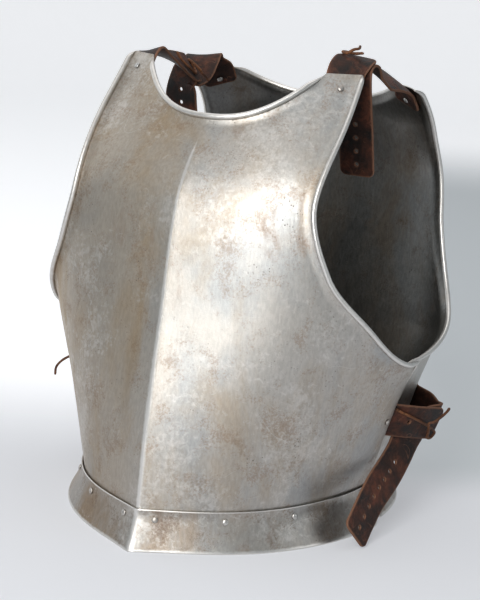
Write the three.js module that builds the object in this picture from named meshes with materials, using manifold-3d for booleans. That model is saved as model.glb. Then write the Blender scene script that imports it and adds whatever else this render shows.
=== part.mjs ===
import * as THREE from 'three';
import { mergeVertices } from 'three/addons/utils/BufferGeometryUtils.js';
import Module from 'manifold-3d';

// A cuirass: a keeled breastplate and a back plate, each with a flared waist flange riveted on,
// joined at both shoulders and both sides by leather straps tied with thongs.
// Millimetres, +Z up. The front faces -Y and +X is the wearer's left.

const wasm = await Module();
wasm.setup();

// Driving sizes of the plates
const tabTopHeight = 470;
const waistHeight = 38.4;
const plateThickness = 1.6;
const breastHalfWidth = 225;
const breastDepth = 212;
const backDepth = 188;
const keelHeight = 34;
const keelReach = 70;
const backTabTopHeight = 446;
const sideSeamHeight = 181;
const sideOverlap = 4;
const overlapRollStart = 5;
const overlapRollFade = 12;

// Rim of each plate: an outward-turned band that ends in a rolled bead
const bandWidth = 11;
const bandFlare = 3.4;
const beadRadius = 2.8;

// Neck and armhole openings
const breastNeckHeight = 420;
const breastTabInner = 100;
const breastTabOuter = 131;
const backNeckHeight = 417;
const backTabInner = 103;
const backTabOuter = 138;
const overlapDrop = 3;
const seamSlack = 1.2;
const sideBulge = 12;
const bulgeFadeHeight = 300;

// Waist flanges
const flangeThickness = 1.8;
const flangeHalfWidth = 174;
const flangeDepth = 227;
const flangeKeel = 42;
const flangeStandProud = 2.5;
const flangeEndRadius = 13;
const flangeEndGap = 2.5;
const tuckDepth = 15;
const topEdgeGap = 1.3;
const rivetDrop = 8;

// Leather and rivets
const strapWidth = 38;
const strapThickness = 2.8;
const strapCornerRadius = 7;
const strapReach = 100;
const shoulderStrapX = 117;
const strapEndInset = 13;
const tabSeatDrop = 3;
const tabStrapShare = 1.5;
const leatherGap = 0.95;
const headSlack = 0.55;
const footSlack = 1.5;
const underSlack = 2.1;
const hingeGap = 0.5;
const hingeLead = 4;
const bridgeTurnShare = 0.34;
const shoulderPunchShare = 0.42;
const sideStrapHeight = 113.5;
const sideStrapEnd = 21;
const sideRivetInset = 9;
const sidePunchShare = 0.5;
const rearStrapStart = 132;
const rearStrapRivet = 121;
const rearStrapLeave = 110;
const rearStrapHeight = 112;
const rearStrapLeaveHeight = 106;
const punchRadius = 2.1;
const punchPitch = 14.5;
const thongRadius = 1.5;
const rivetHeadRadius = 3.3;
const rivetHeadHeight = 1.7;
const rivetShankRadius = 1.5;
const rivetFootRadius = 2.5;
const crownWidthShare = 0.62;
const crownHeightShare = 0.78;
const rivetFootHeight = 0.9;
const seatGap = 0.3;
const cutterReach = 12;
const weldReach = 0.004;

// Shapes of the openings and outlines, as shares
const breastHeightShares = [0, 0.2, 0.45, 0.7, 1];
const breastWidthShares = [0.693, 0.803, 0.958, 1, 0.658];
const breastDepthShares = [1, 0.955, 0.865, 0.767, 0.289];
const backHeightShares = [0, 0.166, 0.33, 0.513, 0.7, 0.838, 0.953];
const backDepthShares = [0.824, 0.878, 0.92, 0.968, 0.995, 0.941, 0.814];
const armholeHeightShares = [0, 0.15, 0.35, 0.6, 0.8, 1];
const breastArmholeShares = [0.894, 0.82, 0.668, 0.587, 0.599, 0.582];
const backArmholeShares = [0.87, 0.76, 0.696, 0.658, 0.62, 0.613];
const neckColumnShares = [0, 0.15, 0.3, 0.45, 0.6, 0.75, 0.88, 1];
const tabColumnShares = [0.25, 0.5];
const sideRowShares = [0.27, 0.54, 0.8];
const armholeRowShares = [0.012, 0.04, 0.085, 0.145, 0.225, 0.33, 0.46, 0.59, 0.71, 0.82, 0.92, 1];
const middleRowShares = [0.09, 0.17, 0.235, 0.285, 0.33, 0.375, 0.42, 0.47, 0.53, 0.6, 0.68, 0.76, 0.83,
  0.89, 0.95, 1];
const bandShares = [0.36, 0.68, 1];
const tuckRowShares = [1, 0.5, 0];
const flangeHeightShares = [0, 0.3, 0.58, 0.8, 1];
const flangeEndShares = [1, 0.6, 0.32, 0.12, 0];
const cornerRollShare = 0.4;
const squareSidePower = 2.45;
const squareFacePower = 1.81;
const backSidePower = 3;
const backFacePower = 2.32;
const neckPower = 2.6;
const flarePower = 1.35;
const beadSides = 5;

const strapCornerShares = [0, 0.1, 0.4, 1];
const strapSideShares = [1, 0.5, 0, -0.5, -1];
const searchSteps = 6;
const samplesPerStop = 40;
const lacePointsPerStop = 3;
const thongSegments = 4;
const roundSides = 8;
const shortStations = 10;
const shoulderStations = 17;
const sideStations = 18;
const leftTailHoles = 4;
const rightTailHoles = 6;
const sideTailHoles = 8;
const farTailHoles = 4;
const thongStep = 4;

const quarterTurn = Math.PI / 2;
const halfLeather = strapThickness / 2;
const vector = (x, y, z) => new THREE.Vector3(x, y, z);
const mirrorAcross = vector(-1, 1, 1);
const noCup = vector(0, 0, 0);

function mix(from, to, share) {
  return from + (to - from) * share;
}

function clampShare(share) {
  return Math.min(Math.max(share, 0), 1);
}

function signedPower(value, power) {
  return Math.sign(value) * Math.abs(value) ** power;
}

// A smooth curve through a table that never overshoots between its points
function smoothTable(places, values) {
  const steps = places.slice(1).map((place, i) => place - places[i]);
  const slopes = steps.map((step, i) => (values[i + 1] - values[i]) / step);
  const tangents = values.map((value, i) => {
    if (i === 0 || i === values.length - 1) {
      return slopes[Math.min(i, slopes.length - 1)];
    }
    const [before, after] = [slopes[i - 1], slopes[i]];
    if (before * after <= 0) {
      return 0;
    }
    const [first, second] = [2 * steps[i] + steps[i - 1], steps[i] + 2 * steps[i - 1]];
    return (first + second) / (first / before + second / after);
  });
  return (place) => {
    let i = 0;
    while (i < steps.length - 1 && place > places[i + 1]) {
      i += 1;
    }
    const t = (place - places[i]) / steps[i];
    const rise = values[i + 1] - values[i];
    const bendIn = tangents[i] * steps[i] - rise;
    const bendOut = rise - tangents[i + 1] * steps[i];
    return values[i] + rise * t + t * (1 - t) * (bendIn * (1 - t) + bendOut * t);
  };
}

// The outer surface of a plate: rounded half ovals stacked from the flange's hem to the shoulders.
// The angle is 0 at the middle of the plate and a quarter turn at its side seam.
const seamInset = plateThickness + strapThickness + leatherGap + seamSlack;
const flareAt = (height) => ((waistHeight - height) / waistHeight) ** flarePower;
const heightShare = (height) => (height - waistHeight) / (tabTopHeight - waistHeight);

function belowWaist(curve, hemValue) {
  return (height) => (height < waistHeight
    ? mix(curve(waistHeight), hemValue, flareAt(height)) : curve(height));
}

const breastWidthCurve = smoothTable(breastHeightShares, breastWidthShares);
const breastDepthCurve = smoothTable(breastHeightShares, breastDepthShares);
const backDepthCurve = smoothTable(backHeightShares, backDepthShares);

const breast = {
  facing: -1,
  sidePower: squareSidePower,
  facePower: squareFacePower,
  halfWidth: belowWaist(
    (height) => breastHalfWidth * breastWidthCurve(heightShare(height)),
    flangeHalfWidth,
  ),
  depth: belowWaist((height) => breastDepth * breastDepthCurve(heightShare(height)), flangeDepth),
  keel: belowWaist((height) => keelHeight * (1 - heightShare(height)), flangeKeel),
  bulge: () => 0,
};

const hemDepthBehind = backDepth * backDepthShares[0] + flangeDepth - breastDepth;
const back = {
  facing: 1,
  sidePower: backSidePower,
  facePower: backFacePower,
  halfWidth: (height) => breast.halfWidth(height) - seamInset,
  depth: belowWaist((height) => backDepth * backDepthCurve(heightShare(height)), hemDepthBehind),
  keel: () => 0,
  bulge: (height) => sideBulge * clampShare((bulgeFadeHeight - height) / (bulgeFadeHeight - sideSeamHeight))
    * clampShare(height / waistHeight),
};

function surfacePoint(plate, angle, height) {
  const side = Math.sign(angle);
  const nominal = signedPower(Math.sin(angle), 2 / plate.sidePower) * plate.halfWidth(height);
  const x = nominal + side * plate.bulge(height) * Math.sin(2 * angle) ** 2;
  const keel = plate.keel(height);
  const depth = signedPower(Math.cos(angle), 2 / plate.facePower) * (plate.depth(height) - keel);
  const keelAtSeam = Math.exp(-plate.halfWidth(height) / keelReach);
  const keelShare = (Math.exp(-Math.abs(nominal) / keelReach) - keelAtSeam) / (1 - keelAtSeam);
  return new THREE.Vector3(x, plate.facing * (depth + keel * keelShare), height);
}

const angleStep = 0.02;
const heightStep = 0.4;

function surfaceTangents(plate, angle, height) {
  const around = surfacePoint(plate, angle + angleStep, height)
    .sub(surfacePoint(plate, angle - angleStep, height)).divideScalar(2 * angleStep);
  const rising = surfacePoint(plate, angle, height + heightStep)
    .sub(surfacePoint(plate, angle, height - heightStep)).divideScalar(2 * heightStep);
  return { around, rising };
}

function surfaceNormal(plate, angle, height) {
  const { around, rising } = surfaceTangents(plate, angle, height);
  return around.cross(rising).normalize().multiplyScalar(-plate.facing);
}

function angleAt(plate, x, height) {
  return Math.asin(clampShare(x / plate.halfWidth(height)) ** (plate.sidePower / 2));
}

// The angle whose surface lies this far in front of, or behind, the side seam's plane
function angleFromSeam(plate, distance, height) {
  const depth = plate.depth(height) - plate.keel(height);
  const share = clampShare(Math.abs(distance) / depth) ** (plate.facePower / 2);
  return quarterTurn - Math.sign(distance) * Math.asin(share);
}

// Faces between neighbouring outlines of equal length, with a fan or strip closing each end
function loftGeometry(outlines, endFaces) {
  const count = outlines[0].length;
  const positions = outlines.flat().flatMap((point) => [point.x, point.y, point.z]);
  const triangles = [];
  for (let i = 0; i < outlines.length - 1; i += 1) {
    for (let j = 0; j < count; j += 1) {
      const next = (j + 1) % count;
      const [a, b] = [i * count + j, i * count + next];
      triangles.push(a, b, b + count, a, b + count, a + count);
    }
  }
  const last = (outlines.length - 1) * count;
  for (const [a, b, c] of endFaces) {
    triangles.push(a, c, b, last + a, last + b, last + c);
  }
  const geometry = new THREE.BufferGeometry();
  geometry.setAttribute('position', new THREE.Float32BufferAttribute(positions, 3));
  geometry.setIndex(triangles);
  return facingOut(geometry);
}

// Turns every face over when the closed shape is inside out
function facingOut(geometry) {
  const position = geometry.getAttribute('position');
  const index = geometry.getIndex().array;
  const corners = [new THREE.Vector3(), new THREE.Vector3(), new THREE.Vector3()];
  let volume = 0;
  for (let i = 0; i < index.length; i += 3) {
    corners.forEach((corner, k) => corner.fromBufferAttribute(position, index[i + k]));
    volume += corners[0].dot(corners[1].cross(corners[2]));
  }
  if (volume < 0) {
    for (let i = 0; i < index.length; i += 3) {
      [index[i + 1], index[i + 2]] = [index[i + 2], index[i + 1]];
    }
  }
  return geometry;
}

// Joins the right half with its mirror image; both share the middle column
function mirrorJoined(points, triangles) {
  const count = points.length;
  const positions = [...points, ...points.map((point) => point.clone().multiply(mirrorAcross))]
    .flatMap((point) => [point.x, point.y, point.z]);
  const faces = [...triangles];
  for (let i = 0; i < triangles.length; i += 3) {
    faces.push(triangles[i] + count, triangles[i + 2] + count, triangles[i + 1] + count);
  }
  const geometry = new THREE.BufferGeometry();
  geometry.setAttribute('position', new THREE.Float32BufferAttribute(positions, 3));
  geometry.setIndex(faces);
  return facingOut(closedIndexed(geometry));
}

function closedIndexed(geometry) {
  const bare = geometry.clone();
  bare.deleteAttribute('normal');
  bare.deleteAttribute('uv');
  return mergeVertices(bare, weldReach);
}

function closedSolid(geometry) {
  const merged = closedIndexed(geometry);
  return new wasm.Manifold(new wasm.Mesh({
    numProp: 3,
    vertProperties: new Float32Array(merged.getAttribute('position').array),
    triVerts: new Uint32Array(merged.getIndex().array),
  }));
}

function withoutHoles(geometry, holes) {
  let solid = closedSolid(geometry);
  for (const { point, axis, radius } of holes) {
    const cutter = new THREE.CylinderGeometry(radius, radius, 2 * cutterReach, roundSides);
    cutter.applyQuaternion(new THREE.Quaternion().setFromUnitVectors(new THREE.Vector3(0, 1, 0), axis));
    cutter.translate(point.x, point.y, point.z);
    solid = solid.subtract(closedSolid(cutter));
  }
  const mesh = solid.getMesh();
  const cut = new THREE.BufferGeometry();
  cut.setAttribute('position', new THREE.BufferAttribute(new Float32Array(mesh.vertProperties), 3));
  cut.setIndex(new THREE.BufferAttribute(new Uint32Array(mesh.triVerts), 1));
  return cut;
}

const rootGroup = new THREE.Group();
const finishes = {
  steel: { color: 0x9a948c, roughness: 0.35, metalness: 1 },
  flangeSteel: { color: 0x8f8a84, roughness: 0.38, metalness: 1 },
  rivetSteel: { color: 0xb5b2ad, roughness: 0.3, metalness: 1 },
  leather: { color: 0x4a2a20, roughness: 0.65, metalness: 0 },
  thong: { color: 0x7d4526, roughness: 0.7, metalness: 0 },
};

function addPiece(name, geometry, finish) {
  const mesh = new THREE.Mesh(geometry, new THREE.MeshStandardMaterial(finishes[finish]));
  mesh.name = name;
  rootGroup.add(mesh);
  return mesh;
}

// Breastplate and back plate: a net of places over the right half, with the turned band as its last
// rows along the neck and its last columns along the side, then mirrored.

// The place on the surface nearest to a point, searched from a place close by
function placeNear(plate, start, target) {
  let { angle, height } = start;
  for (let step = 0; step < searchSteps; step += 1) {
    const { around, rising } = surfaceTangents(plate, angle, height);
    const offset = target.clone().sub(surfacePoint(plate, angle, height));
    const [aa, ar, rr] = [around.dot(around), around.dot(rising), rising.dot(rising)];
    const [ao, ro] = [around.dot(offset), rising.dot(offset)];
    const scale = 1 / (aa * rr - ar * ar);
    angle += scale * (rr * ao - ar * ro);
    height += scale * (aa * ro - ar * ao);
  }
  return { angle, height };
}

function mixPlace(from, to, share) {
  return { angle: mix(from.angle, to.angle, share), height: mix(from.height, to.height, share) };
}

// The edge of the right half, from the hem up the side and the armhole to the tab's outer corner
function sideRim(plate, sizes) {
  const sideAngle = (height) => quarterTurn + sizes.endAngle(height);
  const heights = tuckRowShares.map((share) => waistHeight - tuckDepth * share);
  const cornerHeight = sideSeamHeight - sizes.cornerDrop;
  heights.push(...sideRowShares.map((share) => mix(waistHeight, cornerHeight, share)));
  const rim = heights.map((height) => ({ angle: sideAngle(height), height, roll: 0 }));
  rim.push({ angle: sideAngle(cornerHeight), height: cornerHeight, roll: cornerRollShare });
  const armhole = smoothTable(armholeHeightShares, sizes.armholeShares);
  const armholeAt = (height) => {
    const x = armhole((height - sideSeamHeight) / (sizes.tabTop - sideSeamHeight)) * sizes.halfWidth;
    return { angle: angleAt(plate, x, height), height, roll: 1 };
  };
  const lastHeight = sizes.tabTop - bandWidth;
  rim.push(...armholeRowShares.map((share) => armholeAt(mix(sideSeamHeight, lastHeight, share))));
  rim.push(...bandShares.map((share) => {
    const place = armholeAt(mix(lastHeight, sizes.tabTop, share));
    return { ...place, roll: 1 - share ** 2 };
  }));
  return rim;
}

// The edge along the neck and the tab's top, from the middle outward
function topRim(plate, sizes) {
  const neck = neckColumnShares.map((share) => {
    const height = mix(sizes.neck, sizes.tabTop, share ** neckPower);
    return { angle: angleAt(plate, sizes.tabInner * share, height), height, roll: share < 1 ? 1 : 0 };
  });
  const tab = tabColumnShares.map((share) => {
    const x = mix(sizes.tabInner, sizes.tabOuter, share);
    return { angle: angleAt(plate, x, sizes.tabTop), height: sizes.tabTop, roll: 0 };
  });
  return [...neck, ...tab];
}

// Adds to every place of the rim its point, its normal and the direction off the edge
function withEdges(plate, rim, sizes) {
  const points = rim.map(({ angle, height }) => surfacePoint(plate, angle, height));
  return rim.map((place, i) => {
    const before = points[Math.max(i - 1, 0)];
    const after = i < rim.length - 1 ? points[i + 1] : points[i - 1].clone().multiply(mirrorAcross);
    const normal = surfaceNormal(plate, place.angle, place.height);
    const edge = after.clone().sub(before).cross(normal).normalize().multiplyScalar(-plate.facing);
    const roll = place.roll * sizes.rollAt(points[i]);
    return { ...place, roll, point: points[i], normal, edge };
  });
}

function footOf(plate, place) {
  const target = place.point.clone().addScaledVector(place.edge, -bandWidth);
  return placeNear(plate, place, target);
}

function plateNet(plate, sizes) {
  const side = sideRim(plate, sizes);
  const corner = side[side.length - 1];
  const level = surfaceTangents(plate, corner.angle, corner.height).around.normalize();
  const cornerPoint = surfacePoint(plate, corner.angle, corner.height);
  const levelFoot = placeNear(plate, corner, cornerPoint.addScaledVector(level, -bandWidth));
  const inner = { angle: levelFoot.angle, height: sizes.tabTop, roll: 0 };
  const top = [...topRim(plate, sizes), inner];
  const band = bandShares.slice(0, -1).reverse()
    .map((share) => ({ ...mixPlace(inner, corner, share), roll: 0 }));
  const rim = withEdges(plate, [...side, ...band, ...top.reverse()], sizes);

  const rows = side.length - bandShares.length;
  const columns = top.length;
  const sidePlaces = rim.slice(0, side.length);
  const topPlaces = rim.slice(side.length + band.length).reverse();
  const sideFeet = sidePlaces.slice(0, rows).map((place) => footOf(plate, place));
  const topFeet = topPlaces.slice(0, -1).map((place) => footOf(plate, place));
  topFeet[0].angle = 0;
  const lastFoot = sideFeet[rows - 1];
  topFeet.push(lastFoot);

  const tuckRows = rows - middleRowShares.length;
  const shares = topFeet.map((foot) => foot.angle / lastFoot.angle);
  const interior = (i, j) => {
    const foot = sideFeet[j];
    const angle = shares[i] * foot.angle;
    if (j < tuckRows) {
      return { angle, height: foot.height };
    }
    const middleShare = middleRowShares[j - tuckRows];
    const spread = shares[i] ** 2;
    const middle = mix(waistHeight, topFeet[0].height, middleShare);
    const rise = topFeet[i].height - mix(topFeet[0].height, lastFoot.height, spread);
    return { angle, height: mix(middle, foot.height, spread) + rise * middleShare ** 2 };
  };
  const bandPlace = (i, j) => {
    const a = i < columns ? 0 : bandShares[i - columns];
    const b = j < rows ? 0 : bandShares[j - rows];
    const fromFoot = interior(Math.min(i, columns - 1), Math.min(j, rows - 1));
    if (a === 0 && b === 0) {
      return { ...fromFoot, lift: 0 };
    }
    if (a > 0 && b > 0) {
      const lower = mixPlace(fromFoot, side[rows - 1], a);
      const upper = mixPlace(inner, corner, a);
      return { ...mixPlace(lower, upper, b), lift: bandFlare * a ** 2 * sidePlaces[j].roll };
    }
    const end = a > 0 ? sidePlaces[j] : topPlaces[i];
    const share = Math.max(a, b);
    return { ...mixPlace(fromFoot, end, share), lift: bandFlare * end.roll * share ** 2 };
  };
  return { rim, rows, columns, shares, sideFeet, bandPlace };
}

const shifted = (plate, place, depth) => surfacePoint(plate, place.angle, place.height)
  .addScaledVector(surfaceNormal(plate, place.angle, place.height), (place.lift ?? 0) - depth);

// The outline over one place of the rim, from the outer face round the bead to the inner face
function beadOutline(outer, inner, { roll, normal, edge }) {
  const radius = mix(plateThickness / 2, beadRadius, roll);
  const from = Math.PI - Math.asin((plateThickness - radius) / radius);
  const centre = inner.clone().addScaledVector(normal, radius);
  const outline = [outer];
  for (let step = 1; step <= beadSides; step += 1) {
    const turn = mix(from, -quarterTurn, step / (beadSides + 1));
    outline.push(centre.clone().addScaledVector(edge, radius * Math.cos(turn))
      .addScaledVector(normal, radius * Math.sin(turn)));
  }
  return [...outline, inner];
}

// How far the outer face stops short of the rim, as a share of the band, to leave room for the bead
function setBackShare(roll) {
  const radius = mix(plateThickness / 2, beadRadius, roll);
  return Math.sqrt(radius ** 2 - (plateThickness - radius) ** 2) / bandWidth;
}

function plateGeometry(plate, sizes) {
  const net = plateNet(plate, sizes);
  const [across, up] = [net.columns + bandShares.length, net.rows + bandShares.length];
  const points = [];
  const triangles = [];
  const add = (point, isMiddle) => points.push(isMiddle ? point.setX(0) : point) - 1;
  const quad = (a, b, c, d) => triangles.push(a, b, c, a, c, d);

  const rimOrder = [];
  for (let j = 0; j < up; j += 1) {
    rimOrder.push([across - 1, j]);
  }
  for (let i = across - 2; i >= 0; i -= 1) {
    rimOrder.push([i, up - 1]);
  }
  const rimAt = new Map(rimOrder.map(([i, j], k) => [i * up + j, net.rim[k]]));
  const outer = [];
  const inner = [];
  for (let i = 0; i < across; i += 1) {
    for (let j = 0; j < up; j += 1) {
      const place = net.bandPlace(i, j);
      const rim = rimAt.get(i * up + j);
      inner.push(add(shifted(plate, place, plateThickness), i === 0));
      if (rim && rim.roll > 0) {
        const foot = net.bandPlace(Math.min(i, net.columns - 1), Math.min(j, net.rows - 1));
        const share = 1 - setBackShare(rim.roll);
        const end = { ...mixPlace(foot, place, share), lift: place.lift * share ** 2 };
        outer.push(add(shifted(plate, end, 0), i === 0));
      } else {
        outer.push(add(shifted(plate, place, 0), i === 0));
      }
    }
  }
  for (let i = 0; i < across - 1; i += 1) {
    for (let j = 0; j < up - 1; j += 1) {
      const [a, b] = [i * up + j, (i + 1) * up + j];
      quad(outer[a], outer[b], outer[b + 1], outer[a + 1]);
      quad(inner[a], inner[a + 1], inner[b + 1], inner[b]);
    }
    quad(outer[(i + 1) * up], outer[i * up], inner[i * up], inner[(i + 1) * up]);
  }
  const outlines = rimOrder.map(([i, j], k) => {
    const at = i * up + j;
    const ring = beadOutline(points[outer[at]], points[inner[at]], net.rim[k]);
    return [outer[at], ...ring.slice(1, -1).map((point) => add(point, i === 0)), inner[at]];
  });
  for (let k = 0; k < outlines.length - 1; k += 1) {
    for (let m = 0; m <= beadSides; m += 1) {
      quad(outlines[k + 1][m], outlines[k][m], outlines[k][m + 1], outlines[k + 1][m + 1]);
    }
  }
  const last = outlines[0][beadSides + 1];
  for (let m = 0; m < beadSides; m += 1) {
    triangles.push(last, outlines[0][m + 1], outlines[0][m]);
  }
  return mirrorJoined(points, triangles);
}

const breastSizes = {
  neck: breastNeckHeight,
  tabTop: tabTopHeight,
  tabInner: breastTabInner,
  tabOuter: breastTabOuter,
  halfWidth: breastHalfWidth,
  armholeShares: [...breastArmholeShares.slice(0, -1), breastTabOuter / breastHalfWidth],
  cornerDrop: 0,
  endAngle: () => 0,
  rollAt: () => 1,
};
const backSizes = {
  neck: backNeckHeight,
  tabTop: backTabTopHeight,
  tabInner: backTabInner,
  tabOuter: backTabOuter,
  halfWidth: breastHalfWidth,
  armholeShares: [...backArmholeShares.slice(0, -1), backTabOuter / breastHalfWidth],
  cornerDrop: overlapDrop,
  endAngle: (height) => angleFromSeam(back, -sideOverlap, height) - quarterTurn,
  rollAt: (rimPoint) => clampShare((rimPoint.y - overlapRollStart) / overlapRollFade),
};

// Rivets. The head lies on the near face and the foot is peened over on the far side.

function rivetGeometry({ point, axis, grip }) {
  const profile = [
    [0, rivetHeadHeight],
    [rivetHeadRadius * crownWidthShare, rivetHeadHeight * crownHeightShare],
    [rivetHeadRadius, 0],
    [rivetShankRadius, 0],
    [rivetShankRadius, -grip],
    [rivetFootRadius, -grip],
    [0, -grip - rivetFootHeight],
  ].map(([radius, height]) => new THREE.Vector2(radius, height)).reverse();
  const geometry = new THREE.LatheGeometry(profile, roundSides);
  geometry.applyQuaternion(new THREE.Quaternion().setFromUnitVectors(new THREE.Vector3(0, 1, 0), axis));
  geometry.translate(point.x, point.y, point.z);
  return facingOut(closedIndexed(geometry));
}

const rivetHole = ({ point, axis }) => ({ point, axis, radius: rivetShankRadius + seatGap });

// A rivet whose layers start at the plate's outer face and run outward, inward or both ways
function plateRivet(plate, place, layers) {
  const { outside = 0, inside = 0, headInside = false } = layers;
  const normal = surfaceNormal(plate, place.angle, place.height);
  const surface = surfacePoint(plate, place.angle, place.height);
  const grip = outside + plateThickness + inside + headSlack + footSlack;
  const reach = headInside ? -plateThickness - inside - headSlack : outside + headSlack;
  const point = surface.addScaledVector(normal, reach);
  return { point, axis: headInside ? normal.negate() : normal, grip };
}

// Waist flanges

const breastFlangeRivetShares = [0.098, 0.443, 0.724, 0.902];
const backFlangeRivetShares = [0.195, 0.557, 0.839];

function flangeGap(height) {
  const rivetHeight = waistHeight - rivetDrop;
  const share = clampShare((height - rivetHeight) / (rivetDrop + flangeStandProud));
  return mix(seatGap, topEdgeGap, share ** 2);
}

function flangePoint(plate, angle, height, depth) {
  const outward = surfaceNormal(plate, angle, height).setZ(0).normalize();
  const reach = flangeGap(height) + flangeThickness - depth;
  return surfacePoint(plate, angle, height).addScaledVector(outward, reach);
}

function flangeGeometry(plate, sizes) {
  const net = plateNet(plate, sizes);
  const footAngle = net.sideFeet[0].angle;
  const columns = net.shares.slice(0, -1).map((share) => ({ angle: share * footAngle, hem: 0 }));
  for (const share of flangeEndShares) {
    const reach = flangeEndRadius * (1 - share);
    columns.push({
      angle: angleFromSeam(plate, flangeEndGap + flangeEndRadius * share, 0),
      hem: flangeEndRadius - Math.sqrt(flangeEndRadius ** 2 - reach ** 2),
    });
  }
  const top = waistHeight + flangeStandProud;
  const half = columns.map(({ angle, hem }) => {
    const heights = flangeHeightShares.map((share) => mix(hem, top, share));
    const outer = heights.map((height) => flangePoint(plate, angle, height, 0));
    const inner = heights.map((height) => flangePoint(plate, angle, height, flangeThickness));
    return [...outer, ...inner.reverse()];
  });
  half[0].forEach((point) => point.setX(0));
  const mirrored = half.slice(1).reverse()
    .map((outline) => outline.map((point) => point.clone().multiply(mirrorAcross)));
  const count = half[0].length;
  const endFaces = [];
  for (let j = 0; j < flangeHeightShares.length - 1; j += 1) {
    endFaces.push([j, j + 1, count - 2 - j], [j, count - 2 - j, count - 1 - j]);
  }
  return loftGeometry([...mirrored, ...half], endFaces);
}

function flangeRivets(plate, shares) {
  const height = waistHeight - rivetDrop;
  return shares.flatMap((share) => [-1, 1].map((side) => {
    const x = share * flangeHalfWidth;
    const place = { angle: side * angleAt(plate, x, height), height };
    return plateRivet(plate, place, { outside: flangeGap(height) + flangeThickness });
  }));
}

// Straps: a flat ribbon along a smooth path, with its width turned and cupped as its stops say

function strapPath(stops) {
  const curve = new THREE.CatmullRomCurve3(stops.map((stop) => stop.point), false, 'centripetal');
  const samples = samplesPerStop * (stops.length - 1);
  const points = curve.getPoints(samples);
  const lengths = [0];
  points.slice(1).forEach((point, i) => lengths.push(lengths[i] + point.distanceTo(points[i])));
  const total = lengths[samples];
  const at = (distance) => {
    let i = 1;
    while (i < samples && lengths[i] < distance) {
      i += 1;
    }
    const share = (distance - lengths[i - 1]) / (lengths[i] - lengths[i - 1]);
    const point = points[i - 1].clone().lerp(points[i], share);
    const along = points[Math.min(i + 1, samples)].clone().sub(points[Math.max(i - 2, 0)]).normalize();
    const reach = (i - 1 + share) * (stops.length - 1) / samples;
    const stop = Math.min(Math.floor(reach), stops.length - 2);
    const turn = clampShare(reach - stop);
    const [from, to] = [stops[stop], stops[stop + 1]];
    const across = from.across.clone().lerp(to.across, turn);
    across.addScaledVector(along, -across.dot(along)).normalize();
    const cup = (from.cup ?? noCup).clone().lerp(to.cup ?? noCup, turn);
    const outward = along.clone().cross(across).normalize();
    return { point, along, across, outward, cup };
  };
  return { at, total };
}

function onStrap(path, distance, sideways, lift) {
  const { point, across, outward, cup } = path.at(distance);
  return point.clone().addScaledVector(across, sideways).addScaledVector(outward, lift)
    .addScaledVector(cup, (2 * sideways / strapWidth) ** 2);
}

function strapGeometry(path, options) {
  const { stations = shortStations, roundStart = false, roundEnd = false, isFlat = false } = options;
  const holes = options.holes ?? [];
  const sideShares = isFlat ? [1, -1] : strapSideShares;
  const distances = new Set();
  const lead = roundStart ? strapCornerRadius : 0;
  const tail = path.total - (roundEnd ? strapCornerRadius : 0);
  for (let i = 0; i <= stations; i += 1) {
    distances.add(mix(lead, tail, i / stations));
  }
  for (const share of strapCornerShares) {
    if (roundStart) {
      distances.add(strapCornerRadius * share);
    }
    if (roundEnd) {
      distances.add(path.total - strapCornerRadius * share);
    }
  }
  const inset = (gap) => strapCornerRadius
    - Math.sqrt(strapCornerRadius ** 2 - Math.max(strapCornerRadius - gap, 0) ** 2);
  const outlines = [...distances].sort((a, b) => a - b).map((distance) => {
    const trim = Math.max(roundStart ? inset(distance) : 0, roundEnd ? inset(path.total - distance) : 0);
    const half = strapWidth / 2 - trim;
    const face = (lift) => sideShares.map((share) => onStrap(path, distance, half * share, lift));
    return [...face(halfLeather), ...face(-halfLeather).reverse()];
  });
  const count = 2 * sideShares.length;
  const endFaces = [];
  for (let j = 0; j < sideShares.length - 1; j += 1) {
    endFaces.push([j, j + 1, count - 2 - j], [j, count - 2 - j, count - 1 - j]);
  }
  return withoutHoles(loftGeometry(outlines, endFaces), holes);
}

const punchedAt = (path, distance, sideways = 0) => ({
  point: onStrap(path, distance, sideways, 0),
  axis: path.at(distance).outward,
  radius: punchRadius,
});

// A stop where a strap lies flat against a plate's sheet, bent to its curve
function strapSeat(plate, place, across, isInside) {
  const depth = isInside ? plateThickness + leatherGap + halfLeather : -leatherGap - halfLeather;
  const centre = surfacePoint(plate, place.angle, place.height);
  const [low, high] = [-1, 1].map((side) => {
    const target = centre.clone().addScaledVector(across, side * strapWidth / 2);
    return shifted(plate, placeNear(plate, place, target), depth);
  });
  const point = shifted(plate, place, depth);
  return { point, across: high.clone().sub(low).normalize(), cup: low.lerp(high, 0.5).sub(point) };
}

// Thongs: a round lace along a strap's face. Each stop gives the share of the strap's length, the
// share of its half width and the number of lace layers below it.
function thongGeometry(points) {
  const curve = new THREE.CatmullRomCurve3(points, false, 'centripetal');
  const section = new THREE.Shape();
  section.absarc(0, 0, thongRadius, 0, 2 * Math.PI);
  const steps = Math.max(Math.round(curve.getLength() / thongStep), thongSegments);
  const options = { steps, curveSegments: thongSegments, extrudePath: curve };
  const geometry = new THREE.ExtrudeGeometry(section, options);
  return facingOut(closedIndexed(geometry));
}

function laceOn(path, stopShares) {
  const stops = stopShares.map(([alongShare, acrossShare, layers]) => vector(
    path.total * alongShare,
    strapWidth / 2 * acrossShare,
    halfLeather + 2 * seatGap + thongRadius + layers * (2 * thongRadius + seatGap),
  ));
  const route = new THREE.CatmullRomCurve3(stops, false, 'centripetal');
  const points = route.getSpacedPoints(lacePointsPerStop * stops.length);
  return points.map(({ x, y, z }) => onStrap(path, x, y, z));
}

// Seats one after another along a plate, each with its width square to the way the strap runs
function seatsAlong(plate, places, isInside) {
  const points = places.map(({ angle, height }) => surfacePoint(plate, angle, height));
  return places.map((place, i) => {
    const next = Math.min(i + 1, points.length - 1);
    const along = points[next].clone().sub(points[next - 1]);
    const across = surfaceNormal(plate, place.angle, place.height).cross(along).normalize();
    return strapSeat(plate, place, across, isInside);
  });
}

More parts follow.
